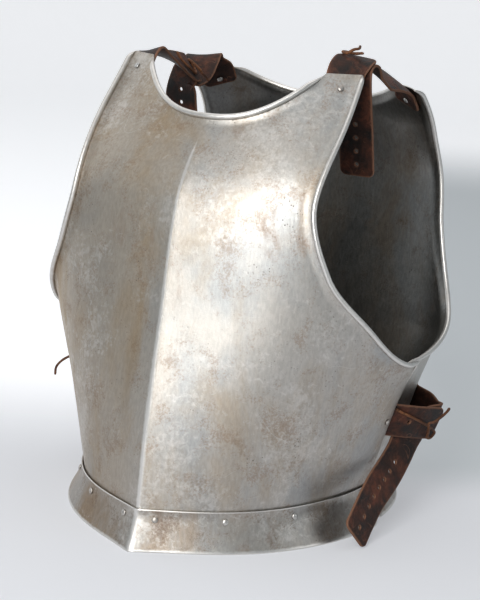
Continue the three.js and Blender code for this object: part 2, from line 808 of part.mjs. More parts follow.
const mirrorStops = (stops) => stops.map(({ point, across, cup = noCup }) => ({
  point: point.clone().multiply(mirrorAcross),
  across: across.clone().multiply(mirrorAcross).negate(),
  cup: cup.clone().multiply(mirrorAcross),
}));

const tabPlace = (plate, side, height) => ({ angle: side * angleAt(plate, shoulderStrapX, height), height });
const tabSeats = (plate, side, top) => seatsAlong(plate, [
  tabPlace(plate, side, top - strapEndInset * tabStrapShare),
  tabPlace(plate, side, top - strapEndInset),
  tabPlace(plate, side, top - tabSeatDrop),
], true);

// Shoulder stops between the tabs: the share of the way from front to back, the rise above the
// straight line, the shift outward and the roll, as a share of a quarter turn.
function bridgeStops(side, isShort, stopShares) {
  const [front, rear] = [tabSeats(breast, side, tabTopHeight)[2], tabSeats(back, side, backTabTopHeight)[2]];
  const seat = isShort ? front : rear;
  return stopShares.map(([wayShare, riseShare, outShare, rollShare], i) => {
    const point = front.point.clone().lerp(rear.point, wayShare);
    point.x = side * (shoulderStrapX + outShare * strapReach);
    point.z += riseShare * strapReach;
    const roll = rollShare * quarterTurn;
    const level = vector(Math.cos(roll), 0, -Math.sin(roll)).multiplyScalar(isShort ? -1 : 1);
    const turn = clampShare(i * bridgeTurnShare);
    const cup = seat.cup.clone().multiplyScalar(1 - turn);
    return { point, across: seat.across.clone().lerp(level, turn), cup };
  });
}

const offsetStop = (from, [x, y, z], across) => ({
  point: from.clone().add(vector(x, y, z).multiplyScalar(strapReach)),
  across,
});

const belowStrap = (path, [alongShare, acrossShare], drop) => ({
  point: onStrap(path, path.total * alongShare, strapWidth / 2 * acrossShare, -drop),
  across: path.at(path.total * alongShare).across.clone().negate(),
});

// The end of a strap's path, one seat gap on, where the next piece starts
function pathEnd(path) {
  const { point, along, across } = path.at(path.total);
  const start = point.clone().addScaledVector(along, hingeGap);
  return [0, hingeLead].map((lead) => ({ point: start.clone().addScaledVector(along, lead), across }));
}

const holes = { breast: [], back: [] };
function addRivet(name, rivet, holeLists) {
  addPiece(name, rivetGeometry(rivet), 'rivetSteel');
  holeLists.forEach((list) => list.push(rivetHole(rivet)));
}

function addStrap(name, path, options, strapHoles) {
  addPiece(name, strapGeometry(path, { ...options, holes: strapHoles }), 'leather');
}

function tailHoles(path, count) {
  const distances = Array.from({ length: count }, (_, i) => path.total - strapEndInset - punchPitch * i);
  return distances.map((distance) => punchedAt(path, distance));
}

// Shoulders
const layered = leatherGap + strapThickness;
const rightShortShares = [[0.05, 0.118, -0.02, 0], [0.115, 0.203, 0, 0], [0.215, 0.25, 0, 0]];
const rightLongShares = [[0.89, 0.052, 0, 0.25], [0.733, 0.085, 0, 0.5], [0.556, 0.102, 0, 0.55],
  [0.355, 0.154, 0, 0.33], [0.26, 0.19, 0, 0.06], [0.195, 0.183, 0, 0], [0.152, 0.149, 0, 0],
  [0.13, 0.094, 0, 0]];
const rightTailShares = [[0, 0.01, -0.12], [0, 0.135, -0.6], [0, 0.25, -1.08]];
const leftShortShares = [[0.078, 0.077, 0, 0.1], [0.229, 0.053, 0, 0.5], [0.418, 0.019, -0.03, 0.62],
  [0.575, -0.023, -0.05, 0.58], [0.644, -0.047, -0.05, 0.5]];
const leftLongShares = [[0.89, 0.055, 0, 0.05], [0.827, 0.137, -0.02, 0.2], [0.745, 0.07, -0.04, 0.4],
  [0.685, -0.032, -0.045, 0.48]];
const leftFoldShares = [[-0.024, -0.012, -0.045], [-0.05, -0.014, -0.09]];
const leftTailShares = [[-0.01, 0.01, -0.15], [0.01, 0.05, -0.5], [0.01, 0.12, -0.95]];
const rightKnotShares = [[0.78, -0.35, 1.8], [0.86, 0.02, 0.6], [0.93, 0.42, 0], [0.92, 0.8, 0],
  [0.82, 0.86, 0.1], [0.77, 0.55, 0.3], [0.84, 0.3, 1.5], [0.94, 0.12, 1.8], [1.05, 0.2, 2.1]];
const leftKnotShares = [[0.72, 0.5, 0.9], [0.76, 0.1, 0], [0.84, -0.45, 0], [0.91, -0.55, 0],
  [0.93, -0.1, 0], [0.87, 0.2, 0.5], [0.8, -0.1, 1.4], [0.86, -0.6, 1.5], [0.97, -0.75, 0.8]];
const sideways = vector(1, 0, 0);

function addShoulder(side, name) {
  const isRight = side > 0;
  const short = strapPath([
    ...tabSeats(breast, side, tabTopHeight),
    ...bridgeStops(side, true, isRight ? rightShortShares : leftShortShares),
  ]);
  const longStops = [
    ...tabSeats(back, side, backTabTopHeight),
    ...bridgeStops(side, false, isRight ? rightLongShares : leftLongShares),
  ];
  if (!isRight) {
    const under = belowStrap(short, [1, 0], layered + underSlack);
    const last = belowStrap(short, [0.945, 0], layered + underSlack);
    const folded = leftFoldShares.map((share) => offsetStop(last.point, share, last.across));
    longStops.push(under, last, ...folded);
  }
  const long = strapPath(longStops);
  const start = pathEnd(long);
  const tailShares = isRight ? rightTailShares : leftTailShares;
  const hanging = tailShares.map((share) => offsetStop(start[0].point, share, sideways));
  const tail = strapPath([...start, ...hanging]);

  const breastPlace = tabPlace(breast, side, tabTopHeight - strapEndInset);
  const backPlace = tabPlace(back, side, backTabTopHeight - strapEndInset);
  const frontRivet = plateRivet(breast, breastPlace, { inside: layered });
  const rearRivet = plateRivet(back, backPlace, { inside: layered, headInside: true });
  const [shortHoles, longHoles] = [[], [punchedAt(long, long.total * shoulderPunchShare)]];
  addRivet(`${name}_front_strap_rivet`, frontRivet, [holes.breast, shortHoles]);
  addRivet(`${name}_rear_strap_rivet`, rearRivet, [holes.back, longHoles]);
  addStrap(`${name}_front_strap`, short, { roundStart: true, roundEnd: true }, shortHoles);
  addStrap(`${name}_rear_strap`, long, { stations: shoulderStations, roundStart: true }, longHoles);
  const tailPunches = tailHoles(tail, isRight ? leftTailHoles : rightTailHoles);
  addStrap(`${name}_strap_tail`, tail, { roundEnd: true, isFlat: true }, tailPunches);
  const lace = laceOn(short, isRight ? rightKnotShares : leftKnotShares);
  addPiece(`${name}_lace`, thongGeometry(lace), 'thong');
}

// Sides. The right side is worked out and the left is its mirror image, but for the lace's free end
// and a shorter tail.
const sideShortShares = [[-0.041, 0.012, 0], [-0.026, 0.042, -0.008], [0.024, 0.093, -0.02],
  [0.088, 0.16, -0.034], [0.163, 0.29, -0.064], [0.232, 0.49, -0.108], [0.28, 0.64, -0.142]];
const sideArchShares = [[-0.005, 0.98, -0.11], [0.15, 0.8, -0.135]];
const sideUnderShares = [[1, 0.1], [0.83, -0.2]];
const sideHingeShares = [[0.067, 0.31, -0.272], [0.042, 0.205, -0.408]];
const sideTailShares = [[0.032, 0.03, -0.53], [0.042, -0.44, -0.715], [0.067, -0.91, -0.995]];
const farTailShares = [[0.035, 0.04, -0.6], [0.03, -0.11, -0.79], [0.035, -0.25, -0.96]];
const sideTopLeanShares = [0.42, 0.62, -0.66];
const sideTailLeanShares = [0.31, 0.8, -0.52];
const sideLaceShares = [[0.25, 0.8, 0], [0.45, 0.45, 0], [0.7, 0.05, 0], [0.88, -0.25, 0], [0.97, -0.5, 0.1],
  [0.93, -0.8, 0.3], [0.84, -0.75, 0.8], [0.79, -0.35, 1.4], [0.74, 0.02, 1.6]];
const rightFreeShares = [[0.06, 0, 0.06], [0.13, 0.01, 0.13], [0.19, 0, 0.2], [0.215, -0.015, 0.24]];
const leftFreeShares = [[-0.06, 0.02, 0.02], [-0.14, 0.02, 0.035], [-0.25, 0.02, 0.03], [-0.4, 0.02, -0.03],
  [-0.51, 0.02, -0.11], [-0.57, 0.02, -0.19], [-0.58, 0.02, -0.28]];

function addSide(side, name) {
  const forSide = (stops) => (side > 0 ? stops : mirrorStops(stops));
  const seam = surfacePoint(breast, quarterTurn, sideStrapHeight);
  const seats = seatsAlong(breast, [sideStrapEnd, sideRivetInset].map((inset) => ({
    angle: angleFromSeam(breast, inset, sideStrapHeight),
    height: sideStrapHeight,
  })), true);
  const shortStops = [...seats, ...sideShortShares.map((share) => offsetStop(seam, share, seats[1].across))];
  const rearPlaces = [rearStrapStart, rearStrapRivet, rearStrapLeave].map((distance, i) => {
    const height = mix(rearStrapHeight, rearStrapLeaveHeight, i / 2);
    return { angle: angleFromSeam(back, distance, height), height };
  });
  const rearSeats = seatsAlong(back, rearPlaces, false);
  const straight = strapPath(shortStops);
  const under = sideUnderShares.map((share) => belowStrap(straight, share, layered + underSlack));
  const [topLean, lean] = [sideTopLeanShares, sideTailLeanShares].map((shares) => vector(...shares));
  const longStops = [
    ...rearSeats,
    ...sideArchShares.map((share) => offsetStop(seam, share, under[0].across)),
    ...under,
    ...sideHingeShares.map((share) => offsetStop(seam, share, topLean)),
  ];
  const start = pathEnd(strapPath(longStops));
  const hanging = side > 0
    ? sideTailShares.map((share, i) => offsetStop(seam, share, i > 0 ? lean : topLean))
    : farTailShares.map((share) => offsetStop(seam, share, topLean));
  const tailStops = [...start, ...hanging];
  const [short, long, tail] = [shortStops, longStops, tailStops].map((stops) => strapPath(forSide(stops)));

  const turned = (place) => ({ ...place, angle: side * place.angle });
  const frontAngle = angleFromSeam(breast, sideRivetInset, sideStrapHeight);
  const frontPlace = { angle: frontAngle, height: sideStrapHeight };
  const frontRivet = plateRivet(breast, turned(frontPlace), { inside: layered });
  const rearRivet = plateRivet(back, turned(rearPlaces[1]), { outside: layered });
  const shortHoles = [punchedAt(short, short.total * sidePunchShare)];
  const longHoles = [];
  addRivet(`${name}_front_strap_rivet`, frontRivet, [holes.breast, shortHoles]);
  addRivet(`${name}_rear_strap_rivet`, rearRivet, [holes.back, longHoles]);
  addStrap(`${name}_front_strap`, short, { roundStart: true, roundEnd: true }, shortHoles);
  addStrap(`${name}_rear_strap`, long, { stations: sideStations, roundStart: true }, longHoles);
  const tailPunches = tailHoles(tail, side > 0 ? sideTailHoles : farTailHoles);
  addStrap(`${name}_strap_tail`, tail, { roundEnd: true, isFlat: true }, tailPunches);
  const laceShares = sideLaceShares.map(([along, across, layers]) => [along, side * across, layers]);
  const lace = laceOn(short, laceShares);
  addPiece(`${name}_lace`, thongGeometry(lace), 'thong');
  const last = lace[lace.length - 1];
  const outward = last.clone().sub(lace[lace.length - 2]).normalize();
  const root = last.clone().addScaledVector(outward, seatGap);
  const freeShares = side > 0 ? rightFreeShares : leftFreeShares;
  const lead = root.clone().addScaledVector(outward, hingeLead);
  const freeEnd = [root, lead, ...freeShares.map((share) => offsetStop(root, share, sideways).point)];
  addPiece(`${name}_lace_end`, thongGeometry(freeEnd), 'thong');
}

addShoulder(1, 'left_shoulder');
addShoulder(-1, 'right_shoulder');
addSide(1, 'left_side');
addSide(-1, 'right_side');

const flangeHoles = { breast: [], back: [] };
flangeRivets(breast, breastFlangeRivetShares).forEach((rivet, i) => {
  addRivet(`front_flange_rivet_${i + 1}`, rivet, [holes.breast, flangeHoles.breast]);
});
flangeRivets(back, backFlangeRivetShares).forEach((rivet, i) => {
  addRivet(`back_flange_rivet_${i + 1}`, rivet, [holes.back, flangeHoles.back]);
});

addPiece('breastplate', withoutHoles(plateGeometry(breast, breastSizes), holes.breast), 'steel');
addPiece('backplate', withoutHoles(plateGeometry(back, backSizes), holes.back), 'steel');
const frontFlange = flangeGeometry(breast, breastSizes);
addPiece('front_waist_flange', withoutHoles(frontFlange, flangeHoles.breast), 'flangeSteel');
const backFlange = flangeGeometry(back, backSizes);
addPiece('back_waist_flange', withoutHoles(backFlange, flangeHoles.back), 'flangeSteel');

// Centre the footprint of the whole, less the laces' free ends, on the origin
const box = new THREE.Box3();
for (const mesh of rootGroup.children.filter(({ name }) => !name.endsWith('lace_end'))) {
  box.expandByObject(mesh, true);
}
const middle = box.getCenter(new THREE.Vector3());
for (const mesh of rootGroup.children) {
  mesh.geometry.translate(0, -middle.y, -box.min.z);
}

export default rootGroup;
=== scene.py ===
import bisect
import math

import bpy
from mathutils import Matrix, Vector, noise
from mathutils.geometry import delaunay_2d_cdt


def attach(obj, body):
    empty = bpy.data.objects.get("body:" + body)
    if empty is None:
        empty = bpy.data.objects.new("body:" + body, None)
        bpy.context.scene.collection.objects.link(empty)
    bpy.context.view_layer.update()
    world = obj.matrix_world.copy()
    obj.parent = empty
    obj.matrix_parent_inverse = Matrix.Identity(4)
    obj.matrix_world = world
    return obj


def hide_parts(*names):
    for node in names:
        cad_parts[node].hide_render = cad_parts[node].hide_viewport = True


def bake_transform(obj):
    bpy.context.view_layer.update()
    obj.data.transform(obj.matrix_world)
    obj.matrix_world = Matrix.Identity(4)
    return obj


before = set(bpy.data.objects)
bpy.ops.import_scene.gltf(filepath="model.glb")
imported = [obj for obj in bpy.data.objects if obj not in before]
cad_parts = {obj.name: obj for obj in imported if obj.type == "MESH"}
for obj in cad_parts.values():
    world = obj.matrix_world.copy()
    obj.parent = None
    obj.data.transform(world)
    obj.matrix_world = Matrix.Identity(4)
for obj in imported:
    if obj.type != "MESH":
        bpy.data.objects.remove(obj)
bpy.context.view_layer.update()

metre = 0.001  # shapes are worked out in millimetres and written to meshes in metres
quarterTurn = math.pi / 2

# Camera, where the photographer stood

cameraPlan = {
    "azimuth": 26.92,
    "elevation": 13.39,
    "roll": 3.2,
    "distance": 1.92317,
    "lens": 108.07,
    "target": (-0.00129, 0.01128, 0.21567),
}


def makeCamera(plan):
    azimuth, elevation, roll = (math.radians(plan[key]) for key in ("azimuth", "elevation", "roll"))
    back = Vector((math.sin(azimuth) * math.cos(elevation),
                   -math.cos(azimuth) * math.cos(elevation), math.sin(elevation)))
    right = Vector((math.cos(azimuth), math.sin(azimuth), 0))
    up = back.cross(right)
    tiltedRight = right * math.cos(roll) + up * math.sin(roll)
    tiltedUp = up * math.cos(roll) - right * math.sin(roll)
    data = bpy.data.cameras.new("photoCamera")
    data.lens = plan["lens"]
    data.clip_start = 0.05
    data.clip_end = 60
    camera = bpy.data.objects.new("photoCamera", data)
    bpy.context.scene.collection.objects.link(camera)
    turn = Matrix((tiltedRight, tiltedUp, back)).transposed().to_4x4()
    camera.matrix_world = Matrix.Translation(Vector(plan["target"]) + back * plan["distance"]) @ turn
    bpy.context.scene.camera = camera


makeCamera(cameraPlan)
print("camera placed")

# Small helpers


def mix(first, second, share):
    return first + (second - first) * share


def clampShare(share):
    return min(max(share, 0), 1)


def easeShare(share):
    share = clampShare(share)
    return share * share * (3 - 2 * share)


def signedPower(value, power):
    return math.copysign(abs(value) ** power, value)


def refined(shares, parts):
    steps = [mix(a, b, k / parts) for a, b in zip(shares, shares[1:]) for k in range(parts)]
    return steps + [shares[-1]]


def smoothTable(places, values):
    steps = [b - a for a, b in zip(places, places[1:])]
    slopes = [(values[i + 1] - values[i]) / step for i, step in enumerate(steps)]
    tangents = [slopes[0]]
    for i in range(1, len(slopes)):
        before, after = slopes[i - 1], slopes[i]
        first, second = 2 * steps[i] + steps[i - 1], steps[i] + 2 * steps[i - 1]
        tangents.append(0 if before * after <= 0 else (first + second) / (first / before + second / after))
    tangents.append(slopes[-1])

    def curve(place):
        i = min(max(bisect.bisect_left(places, place) - 1, 0), len(steps) - 1)
        t = (place - places[i]) / steps[i]
        rise = values[i + 1] - values[i]
        bendIn = tangents[i] * steps[i] - rise
        bendOut = rise - tangents[i + 1] * steps[i]
        return values[i] + rise * t + t * (1 - t) * (bendIn * (1 - t) + bendOut * t)

    return curve


def makeObject(name, points, faces, marks=None, faceSlots=None):
    mesh = bpy.data.meshes.new(name)
    mesh.from_pydata([tuple(point * metre) for point in points], [], faces)
    if marks:
        wear = mesh.attributes.new("wear", "FLOAT", "POINT")
        wear.data.foreach_set("value", marks)
    mesh.polygons.foreach_set("use_smooth", [True] * len(faces))
    if faceSlots:
        mesh.polygons.foreach_set("material_index", faceSlots)
    mesh.update()
    made = bpy.data.objects.new(name, mesh)
    bpy.context.scene.collection.objects.link(made)
    return made


def splinePoints(stops, parts):
    ends = [stops[0] * 2 - stops[1], *stops, stops[-1] * 2 - stops[-2]]
    points = []
    for before, start, end, after in zip(ends, ends[1:], ends[2:], ends[3:]):
        lead, span, trail = ((b - a).length ** 0.5 for a, b in ((before, start), (start, end), (end, after)))
        leave = ((start - before) / lead - (end - before) / (lead + span) + (end - start) / span) * span
        arrive = ((end - start) / span - (after - start) / (span + trail) + (after - end) / trail) * span
        for k in range(parts):
            t = k / parts
            points.append(start + leave * t + (end * 3 - start * 3 - leave * 2 - arrive) * t ** 2
                          + (start * 2 - end * 2 + leave + arrive) * t ** 3)
    return points + [stops[-1].copy()]


def tubeMesh(name, points, radius, sides=12, squareness=2.6):
    tangents = [(points[min(i + 1, len(points) - 1)] - points[max(i - 1, 0)]).normalized()
                for i in range(len(points))]
    normal = tangents[0].orthogonal().normalized()
    made, faces = [], []
    for i, (point, tangent) in enumerate(zip(points, tangents)):
        normal = (normal - tangent * normal.dot(tangent)).normalized()
        side = tangent.cross(normal)
        width = radius * (1 - 0.12 * noise.noise(point * 0.15))
        if i in (0, len(points) - 1):
            width *= 0.78
        for k in range(sides):
            angle = 2 * math.pi * k / sides
            across = signedPower(math.cos(angle), 2 / squareness)
            rise = signedPower(math.sin(angle), 2 / squareness)
            reach = width / max(1, math.hypot(across, rise))
            made.append(point + (normal * across + side * rise) * reach)
    for i in range(len(points) - 1):
        for k in range(sides):
            a, b = i * sides + k, i * sides + (k + 1) % sides
            faces.append((a, b, b + sides, a + sides))
    faces += [tuple(reversed(range(sides))), tuple(range(len(made) - sides, len(made)))]
    return makeObject(name, made, faces)


# Free ends of the side laces, which leave the knots

laceEnds = {
    "radius": 1.5,
    "left": [(206.0, 58.9, 102.7), (206.6, 57.0, 106.1), (212.0, 58.9, 108.7), (219.0, 59.9, 115.7),
             (225.0, 58.9, 122.7), (227.5, 57.4, 126.7)],
    "right": [(-206.0, 58.9, 102.7), (-206.6, 57.0, 106.1), (-212.0, 60.9, 104.7), (-220.0, 60.9, 106.2),
              (-231.0, 60.9, 105.7), (-246.0, 60.9, 99.7), (-257.0, 60.9, 91.7), (-263.0, 60.9, 83.7),
              (-264.0, 60.9, 74.7)],
}


def makeLaceEnd(side):
    points = splinePoints([Vector(stop) for stop in laceEnds[side]], 6)
    lace = tubeMesh(f"{side}SideLaceEnd", points, laceEnds["radius"])
    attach(lace, "breast")
    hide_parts(f"{side}_side_lace_end")
    return lace


laces = [makeLaceEnd("left"), makeLaceEnd("right")]
print("lace ends placed")

# Plates

waistHeight = 38.4
seamMiddle = 21.05  # from the side seam's plane to the middle of the footprint

plateSizes = {
    "thickness": 1.6,
    "tabTop": 470,
    "bandWidth": 11,
    "bandFlare": 3.4,
    "beadRadius": 2.8,
    "beadSides": 12,
    "tuck": 15,
    "keelRound": 1.6,
    "parts": 5,
    "bandParts": 9,
}

breastPlan = {
    "facing": -1,
    "sidePower": 2.45,
    "facePower": 1.81,
    "halfWidth": 225,
    "depth": 212,
    "keel": 34,
    "keelReach": 70,
    "heightShares": [0, 0.2, 0.45, 0.7, 1],
    "widthShares": [0.693, 0.803, 0.958, 1, 0.658],
    "depthShares": [1, 0.955, 0.865, 0.767, 0.289],
    "neck": 420,
    "tabTop": 470,
    "tabInner": 100,
    "tabOuter": 131,
    "armholeShares": [0.894, 0.82, 0.668, 0.587, 0.599, 131 / 225],
    "cornerDrop": 0,
    "overlap": 0,
    "hemKeel": 42,
    "hemDepth": 227,
    "hemHalfWidth": 174,
    "seamInset": 0,
    "bulge": 0,
    "rollStart": None,
}

backPlan = {
    **breastPlan,
    "facing": 1,
    "sidePower": 3,
    "facePower": 2.32,
    "depth": 188,
    "keel": 0,
    "depthHeightShares": [0, 0.166, 0.33, 0.513, 0.7, 0.838, 0.953],
    "depthShares": [0.824, 0.878, 0.92, 0.968, 0.995, 0.941, 0.814],
    "neck": 417,
    "tabTop": 446,
    "tabInner": 103,
    "tabOuter": 138,
    "armholeShares": [0.87, 0.76, 0.696, 0.658, 0.62, 138 / 225],
    "cornerDrop": 3,
    "overlap": 4,
    "hemKeel": 0,
    "hemDepth": 188 * 0.824 + 227 - 212,
    "seamInset": 1.6 + 2.8 + 0.95 + 1.2,
    "bulge": 12,
    "rollStart": 5,
    "rollFade": 12,
}

rimShares = {
    "neck": [0, 0.15, 0.3, 0.45, 0.6, 0.75, 0.88, 1],
    "tab": [0, 0.25, 0.5],
    "side": [0, 0.27, 0.54, 0.8, 1],
    "armhole": [0, 0.012, 0.04, 0.085, 0.145, 0.225, 0.33, 0.46, 0.59, 0.71, 0.82, 0.92, 1],
    "middle": [0, 0.09, 0.17, 0.235, 0.285, 0.33, 0.375, 0.42, 0.47, 0.53, 0.6, 0.68, 0.76, 0.83, 0.89,
               0.95, 1],
    "armholeHeights": [0, 0.15, 0.35, 0.6, 0.8, 1],
}
sideSeamHeight = 181
bulgeFadeHeight = 300


class Plate:
    def __init__(self, plan):
        self.plan = plan
        self.width = smoothTable(plan["heightShares"], plan["widthShares"])
        self.deep = smoothTable(plan.get("depthHeightShares", plan["heightShares"]), plan["depthShares"])
        self.armhole = smoothTable(rimShares["armholeHeights"], plan["armholeShares"])

    def belowWaist(self, curve, hemValue, height):
        if height >= waistHeight:
            return curve(height)
        return mix(curve(waistHeight), hemValue, ((waistHeight - height) / waistHeight) ** 1.35)

    def heightShare(self, height):
        return (height - waistHeight) / (plateSizes["tabTop"] - waistHeight)

    def halfWidth(self, height):
        plan = self.plan
        width = self.belowWaist(lambda z: plan["halfWidth"] * self.width(self.heightShare(z)),
                                plan["hemHalfWidth"], height)
        return width - plan["seamInset"]

    def depth(self, height):
        plan = self.plan
        return self.belowWaist(lambda z: plan["depth"] * self.deep(self.heightShare(z)),
                               plan["hemDepth"], height)

    def keel(self, height):
        plan = self.plan
        return self.belowWaist(lambda z: plan["keel"] * (1 - self.heightShare(z)), plan["hemKeel"], height)

    def bulge(self, height):
        fade = clampShare((bulgeFadeHeight - height) / (bulgeFadeHeight - sideSeamHeight))
        return self.plan["bulge"] * fade * clampShare(height / waistHeight)

    def point(self, angle, height):
        plan = self.plan
        halfWidth = self.halfWidth(height)
        nominal = signedPower(math.sin(angle), 2 / plan["sidePower"]) * halfWidth
        x = nominal + math.copysign(self.bulge(height) * math.sin(2 * angle) ** 2, angle)
        keel = self.keel(height)
        depth = signedPower(math.cos(angle), 2 / plan["facePower"]) * (self.depth(height) - keel)
        if keel > 0:
            rounding = plateSizes["keelRound"]
            atSeam = math.exp(-halfWidth / plan["keelReach"])
            away = math.sqrt(nominal ** 2 + rounding ** 2) - rounding * 0.6
            share = (math.exp(-away / plan["keelReach"]) - atSeam) / (1 - atSeam)
            depth += keel * share
        return Vector((x, plan["facing"] * depth, height))

    def tangents(self, angle, height):
        around = (self.point(angle + 0.01, height) - self.point(angle - 0.01, height)) / 0.02
        rising = (self.point(angle, height + 0.4) - self.point(angle, height - 0.4)) / 0.8
        return around, rising

    def normal(self, angle, height):
        around, rising = self.tangents(angle, height)
        return around.cross(rising).normalized() * -self.plan["facing"]

    def angleAt(self, x, height):
        return math.asin(clampShare(x / self.halfWidth(height)) ** (self.plan["sidePower"] / 2))

    def angleFromSeam(self, distance, height):
        depth = self.depth(height) - self.keel(height)
        share = clampShare(abs(distance) / depth) ** (self.plan["facePower"] / 2)
        return quarterTurn - math.copysign(math.asin(share), distance)

    def near(self, start, target):
        angle, height = start
        for _ in range(6):
            around, rising = self.tangents(angle, height)
            offset = target - self.point(angle, height)
            aa, ar, rr = around.dot(around), around.dot(rising), rising.dot(rising)
            ao, ro = around.dot(offset), rising.dot(offset)
            scale = 1 / (aa * rr - ar * ar)
            angle += scale * (rr * ao - ar * ro)
            height += scale * (aa * ro - ar * ao)
        return angle, height

    def shifted(self, place, lift):
        return self.point(*place) + self.normal(*place) * lift


def mixPlace(first, second, share):
    return mix(first[0], second[0], share), mix(first[1], second[1], share)

def rimEntry(place, roll, isExact=True):
    return {"place": place, "roll": roll, "isExact": isExact}


def sideRim(plate):
    plan, parts = plate.plan, plateSizes["parts"]
    seamAngle = (lambda height: plate.angleFromSeam(-plan["overlap"], height)) if plan["overlap"] else (
        lambda height: quarterTurn)
    cornerHeight = sideSeamHeight - plan["cornerDrop"]
    rim = []
    for share in refined([1, 0.5, 0], 2):
        height = waistHeight - plateSizes["tuck"] * share
        rim.append(rimEntry((seamAngle(height), height), 0))
    for share in refined(rimShares["side"], parts)[1:]:
        height = mix(waistHeight, cornerHeight, share)
        ramp = clampShare((share - 0.8) / 0.2)
        rim.append(rimEntry((seamAngle(height), height), 0.4 * ramp, ramp in (0, 1)))
    corner = rim[-1]["place"]

    def armholeAt(height):
        share = (height - sideSeamHeight) / (plan["tabTop"] - sideSeamHeight)
        return plate.angleAt(plate.armhole(share) * plan["halfWidth"], height), height

    lastHeight = plan["tabTop"] - plateSizes["bandWidth"]
    firstShare, secondShare = rimShares["armhole"][1:3]
    for share in refined(rimShares["armhole"], parts)[1:]:
        reach = mix(sideSeamHeight, lastHeight, max(share, firstShare))
        place = mixPlace(corner, armholeAt(reach), min(share / firstShare, 1))
        isExact = share >= secondShare - 1e-6 or abs(share - firstShare) < 1e-6
        rim.append(rimEntry(place, mix(0.4, 1, min(share / firstShare, 1)), isExact))
    for k in range(plateSizes["bandParts"]):
        share = (k + 1) / plateSizes["bandParts"]
        rim.append(rimEntry(armholeAt(mix(lastHeight, plan["tabTop"], share)), 1 - share ** 2))
    return rim


def topRim(plate, inner):
    plan, parts = plate.plan, plateSizes["parts"]
    rim = []
    for share in refined(rimShares["neck"], parts):
        height = mix(plan["neck"], plan["tabTop"], share ** 2.6)
        place = plate.angleAt(plan["tabInner"] * share, height), height
        rim.append(rimEntry(place, easeShare((1 - share) / 0.12), share <= 0.881 or share == 1))
    tab = rimShares["tab"]
    for share in refined(tab, parts)[1:]:
        x = mix(plan["tabInner"], plan["tabOuter"], share)
        isExact = min(abs(share - stop) for stop in tab) < 1e-6
        rim.append(rimEntry((plate.angleAt(x, plan["tabTop"]), plan["tabTop"]), 0, isExact))
    last = rim[-1]["place"]
    rim += [rimEntry(mixPlace(last, inner, (k + 1) / parts), 0, False) for k in range(parts)]
    return rim


def addEdges(plate, rim):
    points = [plate.point(*entry["place"]) for entry in rim]
    mirrored = points[-2] * 1
    mirrored.x *= -1
    for i, entry in enumerate(rim):
        after = points[i + 1] if i < len(rim) - 1 else mirrored
        normal = plate.normal(*entry["place"])
        edge = (after - points[max(i - 1, 0)]).cross(normal).normalized() * -plate.plan["facing"]
        if plate.plan["rollStart"] is not None:
            entry["roll"] *= easeShare((points[i].y - plate.plan["rollStart"]) / plate.plan["rollFade"])
        entry.update(normal=normal, edge=edge, point=points[i])


def feetOf(plate, entries, lastFoot=None):
    feet = [plate.near(entry["place"], entry["point"] - entry["edge"] * plateSizes["bandWidth"])
            if entry["isExact"] else None for entry in entries]
    if lastFoot:
        feet[-1] = lastFoot
    known = [i for i, foot in enumerate(feet) if foot]
    for before, after in zip(known, known[1:]):
        for i in range(before + 1, after):
            feet[i] = mixPlace(feet[before], feet[after], (i - before) / (after - before))
    return feet


class PlateNet:
    def __init__(self, plate):
        plan, bandParts = plate.plan, plateSizes["bandParts"]
        side = sideRim(plate)
        corner = side[-1]["place"]
        level = plate.tangents(*corner)[0].normalized()
        levelFoot = plate.near(corner, plate.point(*corner) - level * plateSizes["bandWidth"])
        self.inner, self.corner = (levelFoot[0], plan["tabTop"]), corner
        top = topRim(plate, self.inner)
        band = [rimEntry(mixPlace(self.inner, corner, k / bandParts), 0) for k in range(bandParts - 1, 0, -1)]
        self.rim = [*side, *band, *reversed(top)]
        addEdges(plate, self.rim)
        self.rows, self.columns = len(side) - bandParts, len(top)
        self.side, self.top = side, top
        self.sideFeet = feetOf(plate, side[:self.rows])
        self.lastFoot = self.sideFeet[-1]
        self.topFeet = feetOf(plate, top, self.lastFoot)
        self.topFeet[0] = (0, self.topFeet[0][1])
        self.shares = [foot[0] / self.lastFoot[0] for foot in self.topFeet]
        self.middleShares = refined(rimShares["middle"], plateSizes["parts"])[1:]
        self.tuckRows = self.rows - len(self.middleShares)

    def interior(self, i, j):
        foot = self.sideFeet[j]
        angle = self.shares[i] * foot[0]
        if j < self.tuckRows:
            return angle, foot[1]
        middleShare = self.middleShares[j - self.tuckRows]
        spread = self.shares[i] ** 2
        middle = mix(waistHeight, self.topFeet[0][1], middleShare)
        rise = self.topFeet[i][1] - mix(self.topFeet[0][1], self.lastFoot[1], spread)
        return angle, mix(middle, foot[1], spread) + rise * middleShare ** 2

    def place(self, i, j):
        bandParts, flare = plateSizes["bandParts"], plateSizes["bandFlare"]
        a = max(i - self.columns + 1, 0) / bandParts
        b = max(j - self.rows + 1, 0) / bandParts
        foot = self.interior(min(i, self.columns - 1), min(j, self.rows - 1))
        if a == 0 and b == 0:
            return foot, 0, 0
        if a > 0 and b > 0:
            lower = mixPlace(foot, self.side[self.rows - 1]["place"], a)
            upper = mixPlace(self.inner, self.corner, a)
            return mixPlace(lower, upper, b), flare * a ** 2 * self.side[j]["roll"], a * self.side[j]["roll"]
        end = self.side[j] if a > 0 else self.top[i]
        share = max(a, b)
        return mixPlace(foot, end["place"], share), flare * end["roll"] * share ** 2, end["roll"] * share


def beadRadiusAt(roll):
    return mix(plateSizes["thickness"] / 2, plateSizes["beadRadius"], roll)


